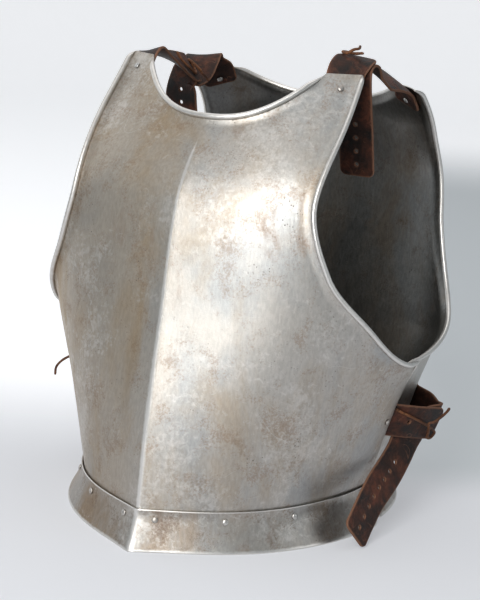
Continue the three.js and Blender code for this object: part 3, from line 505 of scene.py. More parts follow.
def makePlate(name, plan):
    plate = Plate(plan)
    net = PlateNet(plate)
    thickness, bandWidth, sides = (plateSizes[key] for key in ("thickness", "bandWidth", "beadSides"))
    across, up = net.columns + plateSizes["bandParts"], net.rows + plateSizes["bandParts"]
    rimOrder = [(across - 1, j) for j in range(up)] + [(i, up - 1) for i in range(across - 2, -1, -1)]
    rimAt = dict(zip(rimOrder, net.rim))
    points, marks, faces, slots = [], [], [], []

    def add(point, mark, isMiddle):
        if isMiddle:
            point.x = 0
        points.append(point)
        marks.append(mark)
        return len(points) - 1

    def quad(a, b, c, d, slot=0):
        faces.append((a, b, c, d))
        slots.append(slot)

    outer, inner = {}, {}
    for i in range(across):
        for j in range(up):
            place, lift, bandShare = net.place(i, j)
            normal, point = plate.normal(*place), plate.point(*place)
            inner[i, j] = add(point + normal * (lift - thickness), 0, i == 0)
            rim = rimAt.get((i, j))
            if rim and rim["roll"] > 0.001:
                radius = beadRadiusAt(rim["roll"])
                share = 1 - math.sqrt(radius ** 2 - (thickness - radius) ** 2) / bandWidth
                foot = net.place(min(i, net.columns - 1), min(j, net.rows - 1))[0]
                place = mixPlace(foot, place, share)
                normal, point, lift = plate.normal(*place), plate.point(*place), lift * share ** 2
            ridgeHighlight = 0
            # A narrow bright line along the keel ridge is a painted highlight, stored in the wear marks.
            if plan["keel"]:
                ridgeHighlight = math.exp(-(point.x / 1.5) ** 2) * easeShare((420 - point.z) / 45)
            outer[i, j] = add(point + normal * lift, max(ridgeHighlight, 0.35 * bandShare), i == 0)
    for i in range(across - 1):
        for j in range(up - 1):
            corners = (i, j), (i + 1, j), (i + 1, j + 1), (i, j + 1)
            quad(*(outer[corner] for corner in corners))
            quad(*(inner[corner] for corner in reversed(corners)), 1)
        quad(outer[i + 1, 0], outer[i, 0], inner[i, 0], inner[i + 1, 0])
    rings = []
    for at, rim in zip(rimOrder, net.rim):
        radius = beadRadiusAt(rim["roll"])
        start = math.pi - math.asin((thickness - radius) / radius)
        centre = points[inner[at]] + rim["normal"] * radius
        ring = [outer[at]]
        for step in range(1, sides + 1):
            turn = mix(start, -quarterTurn, step / (sides + 1))
            reach = rim["edge"] * math.cos(turn) + rim["normal"] * math.sin(turn)
            ring.append(add(centre + reach * radius, mix(0.4, 0.7, rim["roll"]), at[0] == 0))
        rings.append(ring + [inner[at]])
    for ring, after in zip(rings, rings[1:]):
        for m in range(sides + 1):
            quad(after[m], ring[m], ring[m + 1], after[m + 1])
    for m in range(sides):
        faces.append((rings[0][-1], rings[0][m + 1], rings[0][m]))
        slots.append(0)

    count = len(points)
    middle = {k for k, point in enumerate(points) if abs(point.x) < 1e-6}
    twin, copies = {}, []
    for k, point in enumerate(points):
        if k in middle:
            twin[k] = k
        else:
            twin[k] = count + len(copies)
            copies.append(Vector((-point.x, point.y, point.z)))
    marks += [marks[k] for k in range(count) if k not in middle]
    mirrored = [tuple(twin[k] for k in reversed(face)) for face in faces]
    if plan["facing"] > 0:
        faces = [tuple(reversed(face)) for face in faces]
        mirrored = [tuple(reversed(face)) for face in mirrored]
    shift = Vector((0, seamMiddle, 0))
    made = makeObject(name, [point + shift for point in points + copies], faces + mirrored, marks, slots * 2)
    return made, net


breastPiece, breastNet = makePlate("breastPlateSheet", breastPlan)
backPiece, backNet = makePlate("backPlateSheet", backPlan)
for piece, body, node in ((breastPiece, "breast", "breastplate"), (backPiece, "back", "backplate")):
    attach(piece, body)
    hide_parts(node)
print("plates hammered")

# Waist flanges

flangePlan = {
    "thickness": 1.8,
    "standProud": 2.5,
    "rivetDrop": 8,
    "seatGap": 0.3,
    "topGap": 1.3,
    "endRadius": 13,
    "endGap": 2.5,
    "endShares": [1, 0.85, 0.7, 0.55, 0.42, 0.3, 0.2, 0.12, 0.06, 0.02, 0],
    "rowShares": [0, 0.012, 0.035, 0.1, 0.2, 0.3, 0.4, 0.5, 0.6, 0.7, 0.8, 0.9, 0.96, 0.985, 1],
    "edgeRound": 0.55,
}


def makeFlange(name, plan, net):
    plate, sizes = Plate(plan), flangePlan
    top = waistHeight + sizes["standProud"]
    rivetHeight = waistHeight - sizes["rivetDrop"]
    footAngle = net.sideFeet[0][0]
    columns = [(share * footAngle, 0) for share in net.shares[:-1]]
    for share in sizes["endShares"]:
        reach = sizes["endRadius"] * (1 - share)
        angle = plate.angleFromSeam(sizes["endGap"] + sizes["endRadius"] * share, 0)
        columns.append((angle, sizes["endRadius"] - math.sqrt(sizes["endRadius"] ** 2 - reach ** 2)))

    def faceAt(angle, height, depth):
        gap = mix(sizes["seatGap"], sizes["topGap"], clampShare((height - rivetHeight) / (top - rivetHeight)) ** 2)
        outward = plate.normal(angle, height)
        outward.z = 0
        return plate.point(angle, height) + outward.normalized() * (gap + sizes["thickness"] - depth)

    outlines, marks = [], []
    for angle, hem in columns:
        heights = [mix(hem, top, share) for share in sizes["rowShares"]]
        edge = sizes["edgeRound"]
        outer = [faceAt(angle, height, 0) for height in heights]
        inner = [faceAt(angle, height, sizes["thickness"]) for height in heights]
        for face, other in ((outer, inner), (inner, outer)):
            for index, direction in ((0, 1), (-1, -1)):
                face[index] = face[index] + (other[index] - face[index]).normalized() * edge
                face[index + direction] = face[index + direction] + (
                    (other[index + direction] - face[index + direction]).normalized() * edge * 0.15)
        outlines.append(outer + inner[::-1])
        # The ridge mark on the front flange is a painted highlight, stored in the wear marks.
        ridgeHighlight = math.exp(-(outer[3].x / 1.8) ** 2) if plan["keel"] else 0
        rows = len(heights)
        hemMark = [1, 1, 0.8, 0.2] + [0] * (rows - 7) + [0.2, 0.7, 0.8]
        marks.append([max(mark, 0.9 * ridgeHighlight) for mark in hemMark] + [0.6, 0.3] + [0] * (rows - 4) + [0.6, 1])
    for point in outlines[0]:
        point.x = 0
    count = len(outlines[0])
    mirrored = [[Vector((-point.x, point.y, point.z)) for point in outline] for outline in outlines[:0:-1]]
    everyMark = marks[:0:-1] + marks
    whole = mirrored + outlines
    shift = Vector((0, seamMiddle, 0))
    points = [point + shift for outline in whole for point in outline]
    flat = [mark for row in everyMark for mark in row]
    faces, rows = [], count // 2
    for i in range(len(whole) - 1):
        for j in range(count):
            a, b = i * count + j, i * count + (j + 1) % count
            faces.append((a, b, b + count, a + count))
    last = (len(whole) - 1) * count
    for j in range(rows - 1):
        strip = (j, j + 1, count - 2 - j, count - 1 - j)
        faces += [tuple(reversed(strip)), tuple(last + k for k in strip)]
    if plan["facing"] < 0:
        faces = [tuple(reversed(face)) for face in faces]
    return makeObject(name, points, faces, flat)


flanges = []
for side, plan, net, body in (("front", breastPlan, breastNet, "breast"), ("back", backPlan, backNet, "back")):
    flange = makeFlange(f"{side}WaistFlange", plan, net)
    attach(flange, body)
    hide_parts(f"{side}_waist_flange")
    flanges.append(flange)
print("flanges hammered")

# Leather straps. Each stop is a place in millimetres, the direction of the strap's width and,
# where it lies on a plate, how far its edges bend away.

leatherPlan = {
    "width": 38,
    "thickness": 2.8,
    "cornerRadius": 7,
    "edgeRound": 0.8,
    "holeRadius": 2.1,
    "holeRound": 0.5,
    "holePitch": 14.5,
    "endInset": 13,
    "grid": 2.7,
    "wave": 0.22,
}


class StrapPath:
    def __init__(self, stops):
        self.parts = 40
        self.points = splinePoints([Vector(row[:3]) for row in stops], self.parts)
        self.lengths = [0]
        for before, after in zip(self.points, self.points[1:]):
            self.lengths.append(self.lengths[-1] + (after - before).length)
        self.total = self.lengths[-1]
        self.widths = [Vector(row[3:6]) for row in stops]
        self.cups = [Vector(row[6:9]) if len(row) > 6 else Vector((0, 0, 0)) for row in stops]

    def at(self, distance):
        i = min(max(bisect.bisect_left(self.lengths, distance), 1), len(self.points) - 1)
        share = (distance - self.lengths[i - 1]) / (self.lengths[i] - self.lengths[i - 1])
        point = self.points[i - 1].lerp(self.points[i], share)
        along = (self.points[min(i + 1, len(self.points) - 1)] - self.points[max(i - 2, 0)]).normalized()
        reach = (i - 1 + share) / self.parts
        stop = min(max(int(reach), 0), len(self.widths) - 2)
        turn = clampShare(reach - stop)
        across = self.widths[stop].lerp(self.widths[stop + 1], turn)
        across = (across - along * across.dot(along)).normalized()
        return point, across, along.cross(across).normalized(), self.cups[stop].lerp(self.cups[stop + 1], turn)

    def place(self, distance, sideways, lift):
        point, across, outward, cup = self.at(distance)
        return point + across * sideways + outward * lift + cup * (2 * sideways / leatherPlan["width"]) ** 2


def strapOutline(length, isRoundStart):
    half, step = leatherPlan["width"] / 2, leatherPlan["grid"]
    corners = [(length, -half, leatherPlan["cornerRadius"], -1), (length, half, leatherPlan["cornerRadius"], 0),
               (0, half, leatherPlan["cornerRadius"] if isRoundStart else 1.2, 1),
               (0, -half, leatherPlan["cornerRadius"] if isRoundStart else 1.2, 2)]
    outline = []
    for x, y, radius, quarter in corners:
        centre = Vector((x - math.copysign(radius, x - length / 2), y - math.copysign(radius, y)))
        for k in range(7):
            angle = (quarter + k / 6) * quarterTurn
            outline.append(centre + Vector((math.cos(angle), math.sin(angle))) * radius)
    dense = []
    for start, end in zip(outline, outline[1:] + outline[:1]):
        parts = max(round((end - start).length / step), 1)
        dense += [start.lerp(end, k / parts) for k in range(parts)]
    return dense


def insetLoop(loop, distance):
    inset = []
    for before, point, after in zip(loop[-1:] + loop[:-1], loop, loop[1:] + loop[:1]):
        way = (after - before).normalized()
        inset.append(point + Vector((-way.y, way.x)) * distance)
    return inset


def makeStrap(name, path, holes, isRoundStart=True):
    half = leatherPlan["thickness"] / 2
    outline = strapOutline(path.total, isRoundStart)
    rims = [(lambda inset: insetLoop(outline, inset), leatherPlan["edgeRound"])]
    for distance in holes:
        centre = Vector((distance, 0))

        def holeLoop(inset, centre=centre):
            reach = leatherPlan["holeRadius"] + inset
            turns = [2 * math.pi * k / 16 for k in range(16)]
            return [centre + Vector((math.cos(turn), math.sin(turn))) * reach for turn in turns]
        rims.append((holeLoop, leatherPlan["holeRound"]))

    flat, edges, loops = [], [], []
    for loopAt, rounding in rims:
        start = len(flat)
        flat += loopAt(rounding)
        indices = list(range(start, len(flat)))
        loops.append(indices)
        edges += list(zip(indices, indices[1:] + indices[:1]))
    step = leatherPlan["grid"]
    ringPoints = list(flat)
    columns, rows = int(path.total / step), int(leatherPlan["width"] / step)
    for i in range(columns):
        for j in range(rows):
            spot = Vector(((i + 0.5) * path.total / columns,
                           ((j + 0.5) / rows - 0.5) * leatherPlan["width"]))
            if all(abs(spot.x - ring.x) + abs(spot.y - ring.y) > step * 0.62 for ring in ringPoints) and all(
                    (spot - Vector((hole, 0))).length > leatherPlan["holeRadius"] + 1 for hole in holes):
                flat.append(spot)
    spots, _, triangles, sources, _, _ = delaunay_2d_cdt(flat, edges, [], 1, 1e-5)
    flat = [Vector(spot) for spot in spots]
    newIndex = {old: new for new, olds in enumerate(sources) for old in olds}
    loops = [[newIndex[k] for k in loop] for loop in loops]
    holeSets = [set(loop) for loop in loops[1:]]

    def isSolid(triangle):
        return not any(holeSet.issuperset(triangle) for holeSet in holeSets)

    def waved(spot, lift):
        ripple = noise.noise(Vector((spot.x * 0.045, spot.y * 0.06, path.total))) * leatherPlan["wave"]
        return path.place(spot.x, spot.y, lift + ripple)

    count = len(flat)
    points = [waved(spot, lift) for lift in (half, -half) for spot in flat]
    edgeIndices = {k for loop in loops for k in loop}
    marks = [0.55 if k in edgeIndices else 0 for k in range(count)] * 2
    faces = []
    for triangle in filter(isSolid, triangles):
        faces += [tuple(triangle), tuple(k + count for k in reversed(triangle))]
    for (loopAt, rounding), loop in zip(rims, loops):
        rings = [loop]
        turns = [math.radians(angle) for angle in (30, 60, 90)]
        for side, ordered in ((1, turns), (-1, turns[::-1])):
            for turn in ordered:
                start = len(points)
                lift = side * (half - rounding * (1 - math.cos(turn)))
                points += [waved(spot, lift) for spot in loopAt(rounding * (1 - math.sin(turn)))]
                marks += [1] * (len(points) - start)
                rings.append(list(range(start, len(points))))
        rings.append([k + count for k in loop])
        isHole = loop is not loops[0]
        for ring, after in zip(rings, rings[1:]):
            for k in range(len(ring)):
                m = (k + 1) % len(ring)
                face = (ring[k], after[k], after[m], ring[m])
                faces.append(tuple(reversed(face)) if isHole else face)
    return makeObject(name, points, faces, marks)


strapPlans = {
    "leftShoulderFront": {
        "body": "breast",
        "nodes": ["left_shoulder_front_strap"],
        "holes": [],
        "stops": [
            (115.5, -30.7, 448.1, -0.927, -0.279, 0.25, -0.391, 0.63, -0.607),
            (115.5, -25.1, 454.7, -0.921, -0.299, 0.251, -0.448, 0.687, -0.645),
            (115.4, -17.1, 464.8, -0.908, -0.318, 0.271, -0.558, 0.792, -0.697),
            (115, -9.0, 475.4, -0.908, -0.318, 0.271, -0.558, 0.792, -0.697),
            (117, 1.5, 482.4, -0.94, -0.21, 0.179, -0.368, 0.523, -0.46),
            (117, 17.8, 484.7, -0.971, -0.102, 0.087, -0.178, 0.254, -0.223),
        ],
    },
    "rightShoulderFront": {
        "body": "breast",
        "nodes": ["right_shoulder_front_strap"],
        "holes": [],
        "stops": [
            (-115.5, -30.7, 448.1, -0.927, 0.279, -0.25, 0.391, 0.63, -0.607),
            (-115.5, -25.1, 454.7, -0.921, 0.299, -0.251, 0.448, 0.687, -0.645),
            (-115.4, -17.1, 464.8, -0.908, 0.318, -0.271, 0.558, 0.792, -0.697),
            (-117, -4.5, 470.7, -0.908, 0.318, -0.271, 0.558, 0.792, -0.697),
            (-117, 20.0, 464.6, -0.84, 0.21, 0.061, 0.368, 0.523, -0.46),
            (-114, 50.7, 456.7, -0.673, 0.102, 0.476, 0.178, 0.254, -0.223),
            (-112, 76.1, 448.7, -0.613, 0, 0.79),
            (-112, 87.3, 444.6, -0.707, 0, 0.707),
        ],
    },
    "sideFront": {
        "body": "breast",
        "nodes": ["left_side_front_strap", "right_side_front_strap"],
        "holes": [47.6],
        "stops": [
            (172, 0.5, 114.6, 0.279, -0.027, 0.96, 0.133, -0.016, 0.005),
            (173.2, 12.3, 114.6, 0.283, -0.028, 0.959, 0.138, -0.008, 0.004),
            (173.2, 22.2, 113.5, 0.283, -0.028, 0.959),
            (174.7, 25.2, 112.7, 0.283, -0.028, 0.959),
            (179.7, 30.4, 111.5, 0.283, -0.028, 0.959),
            (186.1, 37.0, 110.1, 0.283, -0.028, 0.959),
            (193.6, 50.0, 107.1, 0.283, -0.028, 0.959),
            (200.5, 70.0, 102.7, 0.283, -0.028, 0.959),
            (205.3, 85.0, 99.3, 0.283, -0.028, 0.959),
        ],
    },
    "leftShoulderRear": {
        "body": "back",
        "tailBody": "left_shoulder_tail",
        "nodes": ["left_shoulder_rear_strap", "left_shoulder_strap_tail"],
        "holes": [72.4],
        "tailHoles": 4,
        "hinge": (117, 4.0, 471.1),
        "hingeWay": (0, -0.6, -0.8),
        "stops": [
            (115.1, 159.5, 424.3, 0.882, -0.346, -0.319, -0.447, -0.677, -0.546),
            (115.0, 154.0, 430.7, 0.868, -0.354, -0.347, -0.44, -0.629, -0.522),
            (114.8, 145.1, 440.8, 0.838, -0.387, -0.385, -0.427, -0.555, -0.449),
            (117, 127.2, 448.6, 0.838, -0.387, -0.385, -0.427, -0.555, -0.449),
            (117, 101.8, 455.7, 0.793, -0.256, -0.495, -0.282, -0.367, -0.296),
            (117, 73.1, 461.6, 0.71, -0.124, -0.64, -0.137, -0.178, -0.144),
            (117, 40.5, 471.7, 0.869, 0, -0.495),
            (117, 25.1, 477.6, 0.996, 0, -0.094),
            (117, 14.5, 478.4, 1, 0, 0),
            (117, 7.5, 476.1, 1, 0, 0),
            (117, 4.0, 471.1, 1, 0, 0),
            (117, 4.7, 458.7, 1, 0, 0),
            (117, 17.2, 410.7, 1, 0, 0),
            (117, 28.7, 362.7, 1, 0, 0),
        ],
    },
    "rightShoulderRear": {
        "body": "back",
        "tailBody": "right_shoulder_tail",
        "nodes": ["right_shoulder_rear_strap", "right_shoulder_strap_tail"],
        "holes": [47.1],
        "tailHoles": 6,
        "hinge": (-121.2, 77.8, 434.4),
        "hingeWay": (0, -0.5, -0.87),
        "bendSpan": (0, 18),
        "stops": [
            (-115.1, 159.5, 424.3, 0.882, 0.346, 0.319, 0.447, -0.677, -0.546),
            (-115.0, 154.0, 430.7, 0.868, 0.354, 0.347, 0.44, -0.629, -0.522),
            (-114.8, 145.1, 440.8, 0.838, 0.387, 0.385, 0.427, -0.555, -0.449),
            (-117, 127.2, 448.9, 0.838, 0.387, 0.385, 0.427, -0.555, -0.449),
            (-115, 117.0, 458.6, 0.876, 0.256, 0.149, 0.282, -0.367, -0.296),
            (-113, 103.7, 453.9, 0.818, 0.124, -0.276, 0.137, -0.178, -0.144),
            (-112.5, 94.0, 445.1, 0.729, 0, -0.684),
            (-116, 85.9, 440.6, 0.729, -0.233, -0.644),
            (-116.2, 79.2, 443.4, 0.672, -0.252, -0.697),
            (-118.7, 78.0, 438.9, 0.672, -0.252, -0.697),
            (-121.2, 77.8, 434.4, 0.672, -0.252, -0.697),
            (-122.5, 78.8, 419.0, 1, 0, 0),
            (-120.5, 82.8, 384.0, 1, 0, 0),
            (-120.5, 89.8, 339.0, 1, 0, 0),
        ],
    },
    "sideRear": {
        "body": "back",
        "tailBody": "left_side_tail",
        "nodes": ["left_side_rear_strap", "left_side_strap_tail"],
        "holes": [],
        "hinge": (181.5, 41.5, 72.7),
        "hingeWay": (0, -0.8, -0.6),
        "stops": [
            (139.3, 154.8, 111.5, -0.307, -0.011, -0.952, -0.024, -0.02, -0.008),
            (149.4, 143.5, 108.5, -0.339, 0.058, -0.939, -0.04, -0.025, 0.001),
            (156.2, 132.2, 105.4, -0.32, 0.071, -0.945, -0.018, -0.003, 0),
            (176.8, 119.0, 102.5, -0.33, -0.107, -0.938),
            (192.3, 101.0, 100, -0.33, -0.107, -0.938),
            (200.7, 87.3, 102.7, -0.33, -0.107, -0.938),
            (194.0, 71.7, 100.8, -0.329, -0.101, -0.939),
            (184.0, 52.0, 86.3, 0.42, 0.62, -0.66),
            (181.5, 41.5, 72.7, 0.42, 0.62, -0.66),
        ],
        "leftTail": {
            "tailHoles": 8,
            "stops": [
                (180.5, 24.1, 60.5, 0.42, 0.62, -0.66),
                (181.5, -22.9, 42, 0.31, 0.8, -0.52),
                (184.0, -70.0, 14, 0.31, 0.8, -0.52),
            ],
        },
        "rightTail": {
            "tailHoles": 4,
            "stops": [
                (180.8, 25.1, 53.5, 0.42, 0.62, -0.66),
                (180.3, 10.1, 34.5, 0.42, 0.62, -0.66),
                (180.8, -4.0, 17.5, 0.42, 0.62, -0.66),
            ],
        },
    },
}


def mirroredStop(stop):
    x, y, z, wideX, wideY, wideZ, *cup = stop
    return -x, y, z, wideX, -wideY, -wideZ, *([-cup[0], cup[1], cup[2]] if cup else [])


def placeStrap(name, plan, nodes, stops, tailBody=None, isMirrored=False):
    path = StrapPath([mirroredStop(stop) for stop in stops] if isMirrored else stops)
    holes = list(plan["holes"])
    for k in range(plan.get("tailHoles", 0)):
        holes.append(path.total - leatherPlan["endInset"] - leatherPlan["holePitch"] * k)
    strap = makeStrap(name, path, holes)
    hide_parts(*nodes)
    if tailBody:
        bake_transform(strap)
    else:
        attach(strap, plan["body"])
    return strap, path


straps, paths = [], {}
for name in ("leftShoulderFront", "rightShoulderFront", "leftShoulderRear", "rightShoulderRear"):
    plan = strapPlans[name]
    strap, paths[name] = placeStrap(name + "Strap", plan, plan["nodes"], plan["stops"], plan.get("tailBody"))
    straps.append(strap)
for side in ("left", "right"):
    for end in ("Front", "Rear"):
        plan = strapPlans["side" + end]
        nodes = [node for node in plan["nodes"] if node.startswith(side)] if end == "Front" else [
            node.replace("left", side) for node in plan["nodes"]]
        tailBody = f"{side}_side_tail" if end == "Rear" else None
        tail = plan.get(side + "Tail", {"stops": []})
        strap, path = placeStrap(f"{side}Side{end}Strap", {**plan, **tail}, nodes, plan["stops"] + tail["stops"],
                                 tailBody, side == "right")
        straps.append(strap)
        paths[f"{side}Side{end}"] = path
print("straps cut and punched")

# Laces. Each stop is a share of the strap's length, a share of its half width and a layer.

laceSizes = {"radius": 1.5, "gap": 0.3}
laceRoutes = {
    "leftShoulder": [(0.78, -0.35, 1.8), (0.86, 0.02, 0.6), (0.93, 0.42, 0), (0.92, 0.8, 0), (0.82, 0.86, 0.1),
                     (0.77, 0.55, 0.3), (0.84, 0.3, 1.5), (0.94, 0.12, 1.8), (1.05, 0.2, 2.1)],
    "rightShoulder": [(0.72, 0.5, 0.9), (0.76, 0.1, 0), (0.84, -0.45, 0), (0.91, -0.55, 0), (0.93, -0.1, 0),
                      (0.87, 0.2, 0.5), (0.8, -0.1, 1.6), (0.86, -0.6, 2.2), (0.94, -0.95, 1.9),
                      (0.98, -1.2, 1.2)],
    "leftSide": [(0.25, 0.8, 0), (0.45, 0.45, 0), (0.7, 0.05, 0), (0.88, -0.25, 0), (0.97, -0.5, 0.1),
                 (0.93, -0.8, 0.3), (0.84, -0.75, 0.8), (0.79, -0.35, 1.4), (0.74, 0.02, 1.6)],
}
laceRoutes["rightSide"] = [(along, -across, layer) for along, across, layer in laceRoutes["leftSide"]]


def makeLace(name, route):
    path = paths[name + "Front"]
    layerHeight = 2 * laceSizes["radius"] + laceSizes["gap"]
    base = leatherPlan["thickness"] / 2 + laceSizes["radius"] + 2 * laceSizes["gap"]
    stops = [Vector((path.total * along, leatherPlan["width"] / 2 * across, base + layer * layerHeight))
             for along, across, layer in route]
    lace = tubeMesh(name + "Lace", [path.place(*spot) for spot in splinePoints(stops, 8)], laceSizes["radius"])
    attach(lace, "breast")
    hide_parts({"leftShoulder": "left_shoulder_lace", "rightShoulder": "right_shoulder_lace",
                       "leftSide": "left_side_lace", "rightSide": "right_side_lace"}[name])
    return lace


laces += [makeLace(name, route) for name, route in laceRoutes.items()]
print("laces tied")

# Rivets, by the point under the head and the way the head faces; each has a mirrored twin

rivetPlan = {
    "headRadius": 3.3,
    "headHeight": 1.7,
    "shankRadius": 1.5,
    "footRadius": 2.5,
    "footHeight": 0.9,
    "sides": 24,
}
rivetPlaces = [
    ("left_shoulder_front_strap_rivet", "right_shoulder_front_strap_rivet", "breast", 7.4,
     (117.21, -28.33, 457.32), (0.388, -0.7082, 0.5898)),
    ("left_shoulder_rear_strap_rivet", "right_shoulder_rear_strap_rivet", "back", 7.4,
     (114.07, 152.76, 429.61), (-0.4968, -0.6498, -0.5753)),
    ("left_side_front_strap_rivet", "right_side_front_strap_rivet", "breast", 7.4,
     (177.51, 12, 113.34), (0.9572, -0.0643, -0.2821)),
    ("left_side_rear_strap_rivet", "right_side_rear_strap_rivet", "back", 7.4,
     (150.84, 144.69, 108), (0.7545, 0.6134, -0.2334)),
    ("front_flange_rivet_2", "front_flange_rivet_1", "breast", 5.75,
     (18.2, -186.2, 31.03), (0.4336, -0.8694, 0.237)),
    ("front_flange_rivet_4", "front_flange_rivet_3", "breast", 5.75,
     (78.66, -151.02, 30.99), (0.5963, -0.7709, 0.224)),
    ("front_flange_rivet_6", "front_flange_rivet_5", "breast", 5.75,
     (128.17, -94.34, 31.16), (0.8263, -0.4848, 0.2866)),
    ("front_flange_rivet_8", "front_flange_rivet_7", "breast", 5.75,
     (159.42, 1.43, 31.31), (0.9343, -0.1009, 0.3419)),
    ("back_flange_rivet_2", "back_flange_rivet_1", "back", 5.75,
     (34.52, 179.53, 31.18), (0.0619, 0.954, 0.2933)),
    ("back_flange_rivet_4", "back_flange_rivet_3", "back", 5.75,
     (105.53, 160.81, 30.99), (0.4806, 0.848, 0.2234)),
    ("back_flange_rivet_6", "back_flange_rivet_5", "back", 5.75,
     (152.15, 80.91, 31.03), (0.9662, 0.098, 0.2383)),
]


def makeRivet(node, body, point, axis, grip):
    sizes, sides = rivetPlan, rivetPlan["sides"]
    profile = []
    for k in range(1, 8):
        turn = quarterTurn * k / 7
        profile.append((sizes["headRadius"] * math.sin(turn), 0.3 + (sizes["headHeight"] - 0.3) * math.cos(turn)))
    profile += [(sizes["headRadius"], 0.12), (sizes["headRadius"] - 0.12, 0), (sizes["shankRadius"], 0),
                (sizes["shankRadius"], -grip), (sizes["footRadius"], -grip),
                (sizes["footRadius"] * 0.75, -grip - sizes["footHeight"] * 0.75)]
    side = axis.orthogonal().normalized()
    other = axis.cross(side)
    points = [point + axis * sizes["headHeight"]]
    for radius, height in profile:
        for k in range(sides):
            turn = 2 * math.pi * k / sides
            way = side * math.cos(turn) + other * math.sin(turn)
            beaten = 1 + 0.035 * noise.noise(point + way * 2 + axis * height)
            points.append(point + way * radius * min(beaten, 1) + axis * height)
    points.append(point - axis * (grip + sizes["footHeight"]))
    last, start = len(points) - 1, len(points) - 1 - sides
    faces = []
    for k in range(sides):
        m = (k + 1) % sides
        faces += [(0, 1 + k, 1 + m), (start + m, start + k, last)]
        for ring in range(len(profile) - 1):
            a, b = 1 + ring * sides + k, 1 + ring * sides + m
            faces.append((a, a + sides, b + sides, b))
    words = node.split("_")
    rivet = makeObject(words[0] + "".join(word.capitalize() for word in words[1:]), points, faces,
                       [0.4] * len(points))
    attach(rivet, body)
    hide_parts(node)
    return rivet


rivets = []
for node, twin, body, grip, point, axis in rivetPlaces:
    point, axis = Vector(point), Vector(axis).normalized()
    rivets.append(makeRivet(node, body, point, axis, grip))
    farPoint, farAxis = (Vector((-spot.x, spot.y, spot.z)) for spot in (point, axis))
    rivets.append(makeRivet(twin, body, farPoint, farAxis, grip))
print("rivets set")

# Shader groups. Every length inside them is in metres, from Object coordinates.


def addNode(tree, kind, inputs=None, **settings):
    node = tree.nodes.new("ShaderNode" + kind)
    for key, value in settings.items():
        setattr(node, key, value)
    for key, value in (inputs or {}).items():
        if isinstance(value, bpy.types.NodeSocket):
            tree.links.new(value, node.inputs[key])
        else:
            node.inputs[key].default_value = value
    return node


def calc(tree, operation, *values):
    return addNode(tree, "Math", dict(enumerate(values)), operation=operation).outputs[0]


def fade(tree, value, low, high, toLow=0.0, toHigh=1.0):
    inputs = {"Value": value, "From Min": low, "From Max": high, "To Min": toLow, "To Max": toHigh}
    return addNode(tree, "MapRange", inputs, interpolation_type="SMOOTHSTEP").outputs[0]


def blendColor(tree, share, first, second, mode="MIX"):
    node = addNode(tree, "Mix", {0: share, 6: first, 7: second}, data_type="RGBA", blend_type=mode)
    return node.outputs[2]


def cloud(tree, vector, scale, detail=4.0, roughness=0.55, distortion=0.0):
    inputs = {"Vector": vector, "Scale": scale, "Detail": detail, "Roughness": roughness, "Distortion": distortion}
    return addNode(tree, "TexNoise", inputs).outputs["Fac"]


def startGroup(name, inputs, outputs):
    group = bpy.data.node_groups.new(name, "ShaderNodeTree")
    for label, kind, value in inputs:
        socket = group.interface.new_socket(label, in_out="INPUT", socket_type="NodeSocket" + kind)
        if kind == "Float":
            socket.default_value = value
    for label, kind in outputs:
        group.interface.new_socket(label, in_out="OUTPUT", socket_type="NodeSocket" + kind)
    return group, group.nodes.new("NodeGroupInput").outputs, group.nodes.new("NodeGroupOutput").inputs


def useGroup(tree, group, **inputs):
    node = tree.nodes.new("ShaderNodeGroup")
    node.node_tree = group
    for key, value in inputs.items():
        if isinstance(value, bpy.types.NodeSocket):
            tree.links.new(value, node.inputs[key])
        else:
            node.inputs[key].default_value = value
    return node.outputs


def buildStain():
    group, given, result = startGroup("stain", [
        ("Vector", "Vector", None), ("Scale", "Float", 10.0), ("Stretch", "Float", 1.0),
        ("Shift", "Float", 0.0), ("Low", "Float", 0.45), ("High", "Float", 0.65)], [("Mask", "Float")])
    upright = calc(group, "MULTIPLY", given["Scale"], given["Stretch"])
    scale = addNode(group, "CombineXYZ", {"X": given["Scale"], "Y": given["Scale"], "Z": upright}).outputs[0]
    shift = addNode(group, "CombineXYZ", {"X": given["Shift"], "Y": 0.0, "Z": given["Shift"]}).outputs[0]
    inputs = {0: given["Vector"], 1: scale, 2: shift}
    spot = addNode(group, "VectorMath", inputs, operation="MULTIPLY_ADD").outputs[0]
    shape = cloud(group, spot, 1.0, 6.0, 0.62, 0.45)
    group.links.new(fade(group, shape, given["Low"], given["High"]), result["Mask"])
    return group


def buildHairScratches():
    group, given, result = startGroup("hairScratches", [
        ("Vector", "Vector", None), ("Scale", "Float", 9.0), ("Lines", "Float", 9.0), ("Width", "Float", 0.02),
        ("Low", "Float", 0.5), ("High", "Float", 0.62)], [("Mask", "Float")])
    field = cloud(group, given["Vector"], given["Scale"], 1.2, 0.4, 0.9)
    wave = calc(group, "FRACT", calc(group, "MULTIPLY", field, given["Lines"]))
    away = calc(group, "ABSOLUTE", calc(group, "SUBTRACT", wave, 0.5))
    line = fade(group, away, 0.0, given["Width"], 1.0, 0.0)
    patch = fade(group, cloud(group, given["Vector"], calc(group, "MULTIPLY", given["Scale"], 2.3), 2.0, 0.5),
                 given["Low"], given["High"])
    group.links.new(calc(group, "MULTIPLY", line, patch), result["Mask"])
    return group


def buildPitting():
    group, given, result = startGroup("pitting", [
        ("Vector", "Vector", None), ("Scale", "Float", 420.0), ("Low", "Float", 0.5), ("High", "Float", 0.7)],
        [("Mask", "Float")])
    cells = addNode(group, "TexVoronoi", {"Vector": given["Vector"], "Scale": given["Scale"], "Randomness": 1.0})
    dot = fade(group, cells.outputs["Distance"], 0.12, 0.42, 1.0, 0.0)
    chance = addNode(group, "SeparateColor", {"Color": cells.outputs["Color"]}).outputs[0]
    kept = fade(group, chance, 0.62, 0.95)
    cluster = fade(group, cloud(group, given["Vector"], calc(group, "MULTIPLY", given["Scale"], 0.055), 4.0, 0.6),
                   given["Low"], given["High"])
    group.links.new(calc(group, "MULTIPLY", calc(group, "MULTIPLY", dot, kept), cluster), result["Mask"])
    return group


